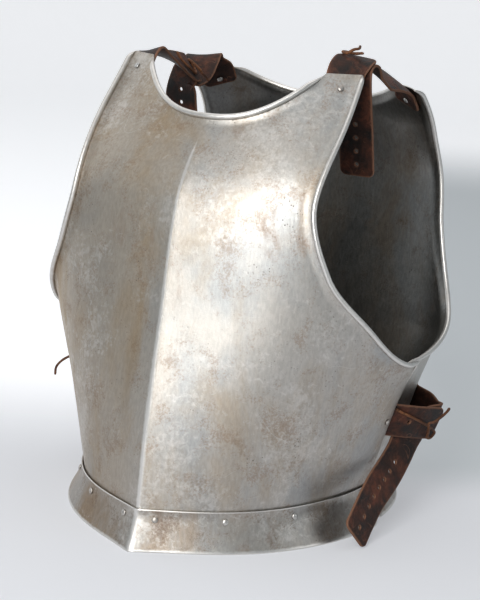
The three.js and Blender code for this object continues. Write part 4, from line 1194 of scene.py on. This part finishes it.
def buildBrushing():
    group, given, result = startGroup("brushing", [
        ("Vector", "Vector", None), ("Across", "Float", 400.0), ("Along", "Float", 130.0)], [("Value", "Float")])
    scale = addNode(group, "CombineXYZ", {"X": given["Across"], "Y": given["Across"], "Z": given["Along"]}).outputs[0]
    spot = addNode(group, "VectorMath", {0: given["Vector"], 1: scale}, operation="MULTIPLY").outputs[0]
    group.links.new(cloud(group, spot, 1.0, 2.5, 0.6), result["Value"])
    return group


def buildSpeckle():
    group, given, result = startGroup("speckle", [
        ("Vector", "Vector", None), ("Scale", "Float", 260.0), ("Low", "Float", 0.5), ("High", "Float", 0.62),
        ("Spread", "Float", 0.5)], [("Mask", "Float"), ("Value", "Float")])
    grains = cloud(group, given["Vector"], given["Scale"], 5.0, 0.68, 0.6)
    patch = cloud(group, given["Vector"], calc(group, "MULTIPLY", given["Scale"], 0.07), 4.0, 0.6, 0.5)
    lifted = calc(group, "MULTIPLY_ADD", calc(group, "SUBTRACT", patch, 0.5), given["Spread"], grains)
    group.links.new(fade(group, lifted, given["Low"], given["High"]), result["Mask"])
    group.links.new(grains, result["Value"])
    return group


def buildEdgeWear():
    group, given, result = startGroup("edgeWear", [
        ("Vector", "Vector", None), ("Edge", "Float", 0.0), ("Scale", "Float", 160.0), ("Break", "Float", 0.5)],
        [("Mask", "Float")])
    chips = calc(group, "SUBTRACT", cloud(group, given["Vector"], given["Scale"], 3.0, 0.6), 0.5)
    worn = calc(group, "MULTIPLY_ADD", chips, given["Break"], given["Edge"])
    group.links.new(fade(group, worn, 0.25, 0.8), result["Mask"])
    return group


def buildLeatherGrain():
    group, given, result = startGroup("leatherGrain", [
        ("Vector", "Vector", None), ("Scale", "Float", 700.0)], [("Height", "Float"), ("Crease", "Float")])
    bend = {0: cloud(group, given["Vector"], 220.0, 2.0), 1: (0.0006,) * 3, 2: given["Vector"]}
    bent = addNode(group, "VectorMath", bend, operation="MULTIPLY_ADD").outputs[0]
    cells = addNode(group, "TexVoronoi", {"Vector": bent, "Scale": given["Scale"]}, feature="DISTANCE_TO_EDGE")
    pebbles = fade(group, cells.outputs["Distance"], 0.0, 0.3)
    folds = cloud(group, given["Vector"], calc(group, "MULTIPLY", given["Scale"], 0.16), 4.0, 0.6, 0.8)
    total = calc(group, "MULTIPLY_ADD", folds, 1.4, calc(group, "MULTIPLY", pebbles, 0.5))
    group.links.new(total, result["Height"])
    group.links.new(fade(group, folds, 0.42, 0.58, 1.0, 0.0), result["Crease"])
    return group


stain, hairScratches, pitting = buildStain(), buildHairScratches(), buildPitting()
brushing, speckle = buildBrushing(), buildSpeckle()
edgeWear, leatherGrain = buildEdgeWear(), buildLeatherGrain()


def startMaterial(name):
    material = bpy.data.materials.new(name)
    material.use_nodes = True
    tree = material.node_tree
    tree.nodes.clear()
    surface = tree.nodes.new("ShaderNodeBsdfPrincipled")
    output = tree.nodes.new("ShaderNodeOutputMaterial")
    tree.links.new(surface.outputs[0], output.inputs[0])
    return material, tree, surface, addNode(tree, "TexCoord").outputs["Object"]


steelPlans = {
    "plateSteel": {
        "steel": (0.50, 0.475, 0.44, 1), "cool": (0.41, 0.415, 0.41, 1), "tan": (0.40, 0.305, 0.20, 1),
        "rust": (0.26, 0.155, 0.085, 1), "pit": (0.11, 0.09, 0.075, 1), "bright": (0.74, 0.72, 0.69, 1),
        "tanShare": 0.5, "rustShare": 0.4, "scratchShare": 0.42, "pitShare": 0.9, "brushShare": 0.14,
        "dirtShare": 0.4, "bareShare": 0.42, "paintedShadeSideShare": 0.8,
        "roughness": 0.42, "stainRoughness": 0.12, "wave": 0.0010, "fine": 0.00007,
    },
    # Inside faces: the plate steel at about half brightness as painted shade, with more tan and rust oxide.
    "paintedShadeInsideSteel": {
        "steel": (0.24, 0.235, 0.22, 1), "cool": (0.20, 0.20, 0.195, 1), "tan": (0.19, 0.15, 0.11, 1),
        "rust": (0.13, 0.09, 0.06, 1), "pit": (0.05, 0.042, 0.035, 1), "bright": (0.36, 0.35, 0.33, 1),
        "tanShare": 0.7, "rustShare": 0.6, "scratchShare": 0.2, "pitShare": 0.8, "brushShare": 0.2,
        "dirtShare": 0.5, "bareShare": 0.2, "paintedShadeSideShare": 0,
        "roughness": 0.30, "stainRoughness": 0.14, "wave": 0.0012, "fine": 0.00008,
    },
    "flangeSteel": {
        "steel": (0.46, 0.435, 0.40, 1), "cool": (0.40, 0.40, 0.39, 1), "tan": (0.34, 0.26, 0.185, 1),
        "rust": (0.20, 0.13, 0.085, 1), "pit": (0.09, 0.075, 0.065, 1), "bright": (0.74, 0.72, 0.69, 1),
        "tanShare": 0.8, "rustShare": 0.65, "scratchShare": 0.4, "pitShare": 0.9, "brushShare": 0.15,
        "dirtShare": 0.55, "bareShare": 0.5, "paintedShadeSideShare": 0.35,
        "roughness": 0.42, "stainRoughness": 0.12, "wave": 0.0008, "fine": 0.00008,
    },
    "rivetSteel": {
        "steel": (0.52, 0.50, 0.47, 1), "cool": (0.44, 0.44, 0.43, 1), "tan": (0.36, 0.28, 0.20, 1),
        "rust": (0.20, 0.13, 0.09, 1), "pit": (0.09, 0.08, 0.07, 1), "bright": (0.74, 0.73, 0.70, 1),
        "tanShare": 0.6, "rustShare": 0.5, "scratchShare": 0.1, "pitShare": 0.6, "brushShare": 0.1,
        "dirtShare": 0.5, "bareShare": 0.3, "paintedShadeSideShare": 0,
        "roughness": 0.34, "stainRoughness": 0.15, "wave": 0.0001, "fine": 0.00004,
    },
}


def makeSteel(name, plan):
    material, tree, surface, spot = startMaterial(name)
    # The vertex marks hold real edge wear and, along the keel ridge, a painted highlight; both turn bright below.
    wear = addNode(tree, "Attribute", attribute_name="wear", attribute_type="GEOMETRY").outputs["Fac"]
    worn = useGroup(tree, edgeWear, Vector=spot, Edge=wear)["Mask"]
    coolMask = useGroup(tree, stain, Vector=spot, Scale=11.0, Stretch=0.6, Shift=3.1, Low=0.42, High=0.66)["Mask"]
    tanAndPaintedShadeMask = useGroup(tree, stain, Vector=spot, Scale=14.0, Stretch=0.45, Shift=7.7, Low=0.44, High=0.68)["Mask"]
    rustMask = useGroup(tree, stain, Vector=spot, Scale=30.0, Stretch=0.55, Shift=1.3, Low=0.56, High=0.76)["Mask"]
    axes = addNode(tree, "SeparateXYZ", {0: spot}).outputs
    # Painted shade on one side: the negative-X side is pushed toward the tan colour, on top of the real tan stains.
    paintedShadeSide = calc(tree, "MULTIPLY", fade(tree, axes["X"], 0.03, -0.05), plan["paintedShadeSideShare"])
    tanAndPaintedShadeMask = calc(tree, "MULTIPLY", calc(tree, "ADD", tanAndPaintedShadeMask, paintedShadeSide), plan["tanShare"])
    tanAndPaintedShadeMask = calc(tree, "MINIMUM", tanAndPaintedShadeMask, 1.0)
    rustMask = calc(tree, "MULTIPLY", rustMask, plan["rustShare"])
    pits = calc(tree, "MULTIPLY", useGroup(tree, pitting, Vector=spot)["Mask"], plan["pitShare"])
    scratches = useGroup(tree, hairScratches, Vector=spot, Scale=9.0, Lines=9.0, Width=0.012,
                         Low=0.54, High=0.6)["Mask"]
    finer = useGroup(tree, hairScratches, Vector=spot, Scale=19.0, Lines=11.0, Width=0.02,
                     Low=0.55, High=0.62)["Mask"]
    scratches = calc(tree, "MULTIPLY", calc(tree, "MAXIMUM", scratches, finer), plan["scratchShare"])
    rubbedSide = calc(tree, "MULTIPLY", fade(tree, axes["X"], 0.02, 0.10), fade(tree, axes["Z"], 0.24, 0.13))
    scratches = calc(tree, "MULTIPLY", scratches, calc(tree, "MULTIPLY_ADD", rubbedSide, 0.7, 0.45))
    brushed = useGroup(tree, brushing, Vector=spot)["Value"]

    dirt = useGroup(tree, speckle, Vector=spot, Scale=430.0, Low=0.52, High=0.78, Spread=1.1)
    bare = useGroup(tree, speckle, Vector=spot, Scale=190.0, Low=0.52, High=0.8, Spread=1.2)
    dirtMask = calc(tree, "MULTIPLY", dirt["Mask"], plan["dirtShare"])
    bareMask = calc(tree, "MULTIPLY", bare["Mask"], plan["bareShare"])

    color = blendColor(tree, coolMask, plan["steel"], plan["cool"])
    color = blendColor(tree, tanAndPaintedShadeMask, color, plan["tan"])
    color = blendColor(tree, rustMask, color, plan["rust"])
    color = blendColor(tree, bareMask, color, plan["bright"])
    color = blendColor(tree, dirtMask, color, plan["rust"])
    shade = fade(tree, brushed, 0.3, 0.7, 1 - plan["brushShare"], 1.0)
    shade = addNode(tree, "CombineColor", {0: shade, 1: shade, 2: shade}).outputs[0]
    color = blendColor(tree, 1.0, color, shade, "MULTIPLY")
    color = blendColor(tree, pits, color, plan["pit"])
    color = blendColor(tree, calc(tree, "MAXIMUM", scratches, calc(tree, "MULTIPLY", worn, 0.95)), color,
                       plan["bright"])
    tree.links.new(color, surface.inputs["Base Color"])

    rough = calc(tree, "MULTIPLY_ADD", calc(tree, "MAXIMUM", tanAndPaintedShadeMask, rustMask), plan["stainRoughness"],
                 plan["roughness"])
    rough = calc(tree, "MULTIPLY_ADD", brushed, 0.12, calc(tree, "SUBTRACT", rough, 0.06))
    rough = calc(tree, "MULTIPLY_ADD", dirtMask, 0.15, calc(tree, "MULTIPLY_ADD", pits, 0.2, rough))
    rough = calc(tree, "MULTIPLY_ADD", worn, -0.1, rough)
    tree.links.new(rough, surface.inputs["Roughness"])
    metal = calc(tree, "MULTIPLY_ADD", calc(tree, "MAXIMUM", rustMask, pits), -0.35, 1.0)
    tree.links.new(metal, surface.inputs["Metallic"])

    ripple = calc(tree, "MULTIPLY", cloud(tree, spot, 42.0, 2.0), 0.25)
    wave = calc(tree, "ADD", cloud(tree, spot, 13.0, 2.0, 0.4), ripple)
    large = addNode(tree, "Bump", {"Strength": 1.0, "Distance": plan["wave"], "Height": wave})
    fine = calc(tree, "MULTIPLY_ADD", pits, -1.2, calc(tree, "MULTIPLY_ADD", scratches, -0.8, brushed))
    fine = calc(tree, "MULTIPLY_ADD", dirt["Value"], 1.5, fine)
    small = addNode(tree, "Bump", {"Strength": 1.0, "Distance": plan["fine"], "Height": fine,
                                   "Normal": large.outputs[0]})
    tree.links.new(small.outputs[0], surface.inputs["Normal"])
    return material


steels = {name: makeSteel(name, plan) for name, plan in steelPlans.items()}

leatherPlans = {
    "strapLeather": {
        "dark": (0.007, 0.004, 0.003, 1), "body": (0.032, 0.0125, 0.0078, 1), "red": (0.125, 0.038, 0.019, 1),
        "worn": (0.19, 0.085, 0.05, 1), "cut": (0.24, 0.12, 0.074, 1),
        "roughness": 0.58, "grainScale": 650.0, "height": 0.00035,
    },
    "thongLeather": {
        "dark": (0.05, 0.02, 0.010, 1), "body": (0.17, 0.070, 0.032, 1), "red": (0.27, 0.105, 0.042, 1),
        "worn": (0.36, 0.18, 0.085, 1), "cut": (0.36, 0.18, 0.085, 1),
        "roughness": 0.58, "grainScale": 900.0, "height": 0.0003,
    },
}


def makeLeather(name, plan):
    material, tree, surface, spot = startMaterial(name)
    wear = addNode(tree, "Attribute", attribute_name="wear", attribute_type="GEOMETRY").outputs["Fac"]
    cut = useGroup(tree, edgeWear, Vector=spot, Edge=wear, Scale=240.0, Break=0.45)["Mask"]
    grain = useGroup(tree, leatherGrain, Vector=spot, Scale=plan["grainScale"])
    redMask = useGroup(tree, stain, Vector=spot, Scale=32.0, Stretch=1.0, Shift=5.5, Low=0.42, High=0.66)["Mask"]
    darkMask = useGroup(tree, stain, Vector=spot, Scale=46.0, Stretch=1.0, Shift=2.2, Low=0.46, High=0.66)["Mask"]
    rubbed = useGroup(tree, stain, Vector=spot, Scale=75.0, Stretch=1.0, Shift=9.4, Low=0.58, High=0.78)["Mask"]
    scuffs = useGroup(tree, hairScratches, Vector=spot, Scale=30.0, Lines=8.0, Width=0.06)["Mask"]
    color = blendColor(tree, redMask, plan["body"], plan["red"])
    color = blendColor(tree, darkMask, color, plan["dark"])
    color = blendColor(tree, calc(tree, "MULTIPLY", grain["Crease"], 0.45), color, plan["dark"])
    color = blendColor(tree, calc(tree, "MULTIPLY", calc(tree, "MAXIMUM", rubbed, scuffs), 0.55), color, plan["worn"])
    color = blendColor(tree, calc(tree, "MULTIPLY", cut, 0.85), color, plan["cut"])
    tree.links.new(color, surface.inputs["Base Color"])
    rough = calc(tree, "MULTIPLY_ADD", calc(tree, "MAXIMUM", rubbed, cut), 0.22, plan["roughness"])
    rough = calc(tree, "MULTIPLY_ADD", darkMask, -0.08, rough)
    tree.links.new(rough, surface.inputs["Roughness"])
    bump = addNode(tree, "Bump", {"Strength": 0.8, "Distance": plan["height"], "Height": grain["Height"]})
    tree.links.new(bump.outputs[0], surface.inputs["Normal"])
    surface.inputs["Specular IOR Level"].default_value = 0.3
    return material


leathers = {name: makeLeather(name, plan) for name, plan in leatherPlans.items()}


def dress(pieces, *materials):
    for piece in pieces:
        for material in materials:
            piece.data.materials.append(material)


dress([breastPiece, backPiece], steels["plateSteel"], steels["paintedShadeInsideSteel"])
dress(flanges, steels["flangeSteel"])
dress(rivets, steels["rivetSteel"])
dress(straps, leathers["strapLeather"])
dress(laces, leathers["thongLeather"])
print("materials ready")

# Round studio sweep, floor and wall in one, and the lights

sweepPlan = {
    "floorRadius": 3.3, "bendRadius": 1.1, "height": 4.4, "sides": 64,
    "turn": cameraPlan["azimuth"],
    # Three tones: a pale painted light, a grey painted shade, and a lighter painted pool of light on the near floor.
    "pale": (0.86, 0.87, 0.89, 1), "room": (0.395, 0.42, 0.437, 1), "near": (0.495, 0.505, 0.53, 1),
    "glow": 0.62,
}


def makeSweep(plan):
    profile = [(0.25, 0), (0.7, 0), (1.3, 0), (2.2, 0), (plan["floorRadius"], 0)]
    for k in range(1, 13):
        turn = quarterTurn * k / 12
        profile.append((plan["floorRadius"] + plan["bendRadius"] * math.sin(turn),
                        plan["bendRadius"] * (1 - math.cos(turn))))
    profile.append((profile[-1][0], plan["height"]))
    sides = plan["sides"]
    points = [Vector((0, 0, 0))]
    for radius, height in profile:
        for k in range(sides):
            turn = 2 * math.pi * k / sides
            points.append(Vector((radius * math.cos(turn), radius * math.sin(turn), height)) / metre)
    faces = []
    for k in range(sides):
        m = (k + 1) % sides
        faces.append((0, 1 + k, 1 + m))
        for ring in range(len(profile) - 1):
            a, b = 1 + ring * sides + k, 1 + ring * sides + m
            faces.append((a, a + sides, b + sides, b))
    sweep = makeObject("studioSweep", points, faces)
    material, tree, surface, spot = startMaterial("paleSweep")
    turned = addNode(tree, "VectorRotate", {"Vector": spot, "Angle": -math.radians(plan["turn"])},
                     rotation_type="Z_AXIS").outputs[0]
    axes = addNode(tree, "SeparateXYZ", {0: turned}).outputs
    right, deep = axes["X"], axes["Y"]
    # Painted light and shade on the sweep, laid out around the camera's azimuth: pale where the wall stands lit (left
    # and far back), grey painted shade elsewhere and on the unlit right, and a lighter painted pool of light on the
    # floor in front.
    farther, nearer = fade(tree, deep, 0.05, 0.6), fade(tree, deep, 2.0, 2.9, 1.0, 0.0)
    leftSide = calc(tree, "MULTIPLY", fade(tree, right, -0.1, 0.3, 1.0, 0.0), fade(tree, right, -1.8, -1.1))
    behind = calc(tree, "MULTIPLY", calc(tree, "SUBTRACT", 1.0, nearer), fade(tree, right, 1.1, 1.8, 1.0, 0.0))
    paintedLightMask = calc(tree, "MULTIPLY", calc(tree, "MAXIMUM", leftSide, behind), farther)
    reach = addNode(tree, "VectorMath", {0: spot}, operation="LENGTH").outputs["Value"]
    paintedLightPoolMask = calc(tree, "MULTIPLY", fade(tree, reach, 1.3, 0.8), fade(tree, deep, 0.16, 0.02))
    paintedLightPoolMask = calc(tree, "MAXIMUM", paintedLightPoolMask, calc(tree, "MULTIPLY", leftSide, fade(tree, reach, 1.3, 0.8)))
    color = blendColor(tree, paintedLightPoolMask, plan["room"], plan["near"])
    color = blendColor(tree, paintedLightMask, color, plan["pale"])
    tree.links.new(color, surface.inputs["Base Color"])
    tree.links.new(color, surface.inputs["Emission Color"])
    path = addNode(tree, "LightPath").outputs
    seen = calc(tree, "MAXIMUM", path["Is Camera Ray"],
                calc(tree, "MAXIMUM", path["Is Glossy Ray"], path["Is Transmission Ray"]))
    tree.links.new(calc(tree, "MULTIPLY", seen, plan["glow"]), surface.inputs["Emission Strength"])
    surface.inputs["Roughness"].default_value = 0.9
    surface.inputs["Specular IOR Level"].default_value = 0.1
    dress([sweep], material)


makeSweep(sweepPlan)

lightPlans = {
    "keyLight": {"azimuth": 7, "elevation": 24, "distance": 2.0, "size": (1.0, 1.9), "power": 34,
                 "color": (1.0, 0.99, 0.97)},
    "fillLight": {"azimuth": -85, "elevation": 25, "distance": 2.6, "size": (2.2, 2.0), "power": 9,
                  "color": (0.97, 0.985, 1.0)},
    "sideLight": {"azimuth": 93, "elevation": 16, "distance": 2.4, "size": (0.9, 0.7), "power": 2.6,
                  "color": (1.0, 0.99, 0.98)},
    "overheadLight": {"azimuth": 200, "elevation": 78, "distance": 2.4, "size": (2.4, 2.4), "power": 16,
                      "color": (1.0, 1.0, 1.0)},
}
lightTarget = Vector((0, 0, 0.26))


def makeLight(name, plan):
    azimuth, elevation = math.radians(plan["azimuth"]), math.radians(plan["elevation"])
    away = Vector((math.sin(azimuth) * math.cos(elevation), -math.cos(azimuth) * math.cos(elevation),
                   math.sin(elevation)))
    data = bpy.data.lights.new(name, "AREA")
    data.shape = "RECTANGLE"
    data.size, data.size_y = plan["size"]
    data.energy = plan["power"]
    data.color = plan["color"]
    light = bpy.data.objects.new(name, data)
    light.location = lightTarget + away * plan["distance"]
    light.rotation_euler = away.to_track_quat("Z", "Y").to_euler()
    light.visible_camera = False
    bpy.context.scene.collection.objects.link(light)


for name, plan in lightPlans.items():
    makeLight(name, plan)

worldPlan = {"seen": (0.45, 0.455, 0.46, 1), "light": (0.30, 0.305, 0.31, 1)}
world = bpy.data.worlds.new("studioWorld")
bpy.context.scene.world = world
world.use_nodes = True
worldTree = world.node_tree
worldTree.nodes.clear()
worldPath = addNode(worldTree, "LightPath").outputs
worldSeen = calc(worldTree, "MAXIMUM", worldPath["Is Camera Ray"],
                 calc(worldTree, "MAXIMUM", worldPath["Is Glossy Ray"], worldPath["Is Transmission Ray"]))
worldColor = blendColor(worldTree, worldSeen, worldPlan["light"], worldPlan["seen"])
sky = addNode(worldTree, "Background", {"Color": worldColor, "Strength": 1.0})
worldTree.links.new(sky.outputs[0], addNode(worldTree, "OutputWorld").inputs[0])
bpy.context.scene.view_settings.view_transform = "Standard"
print("studio lit")
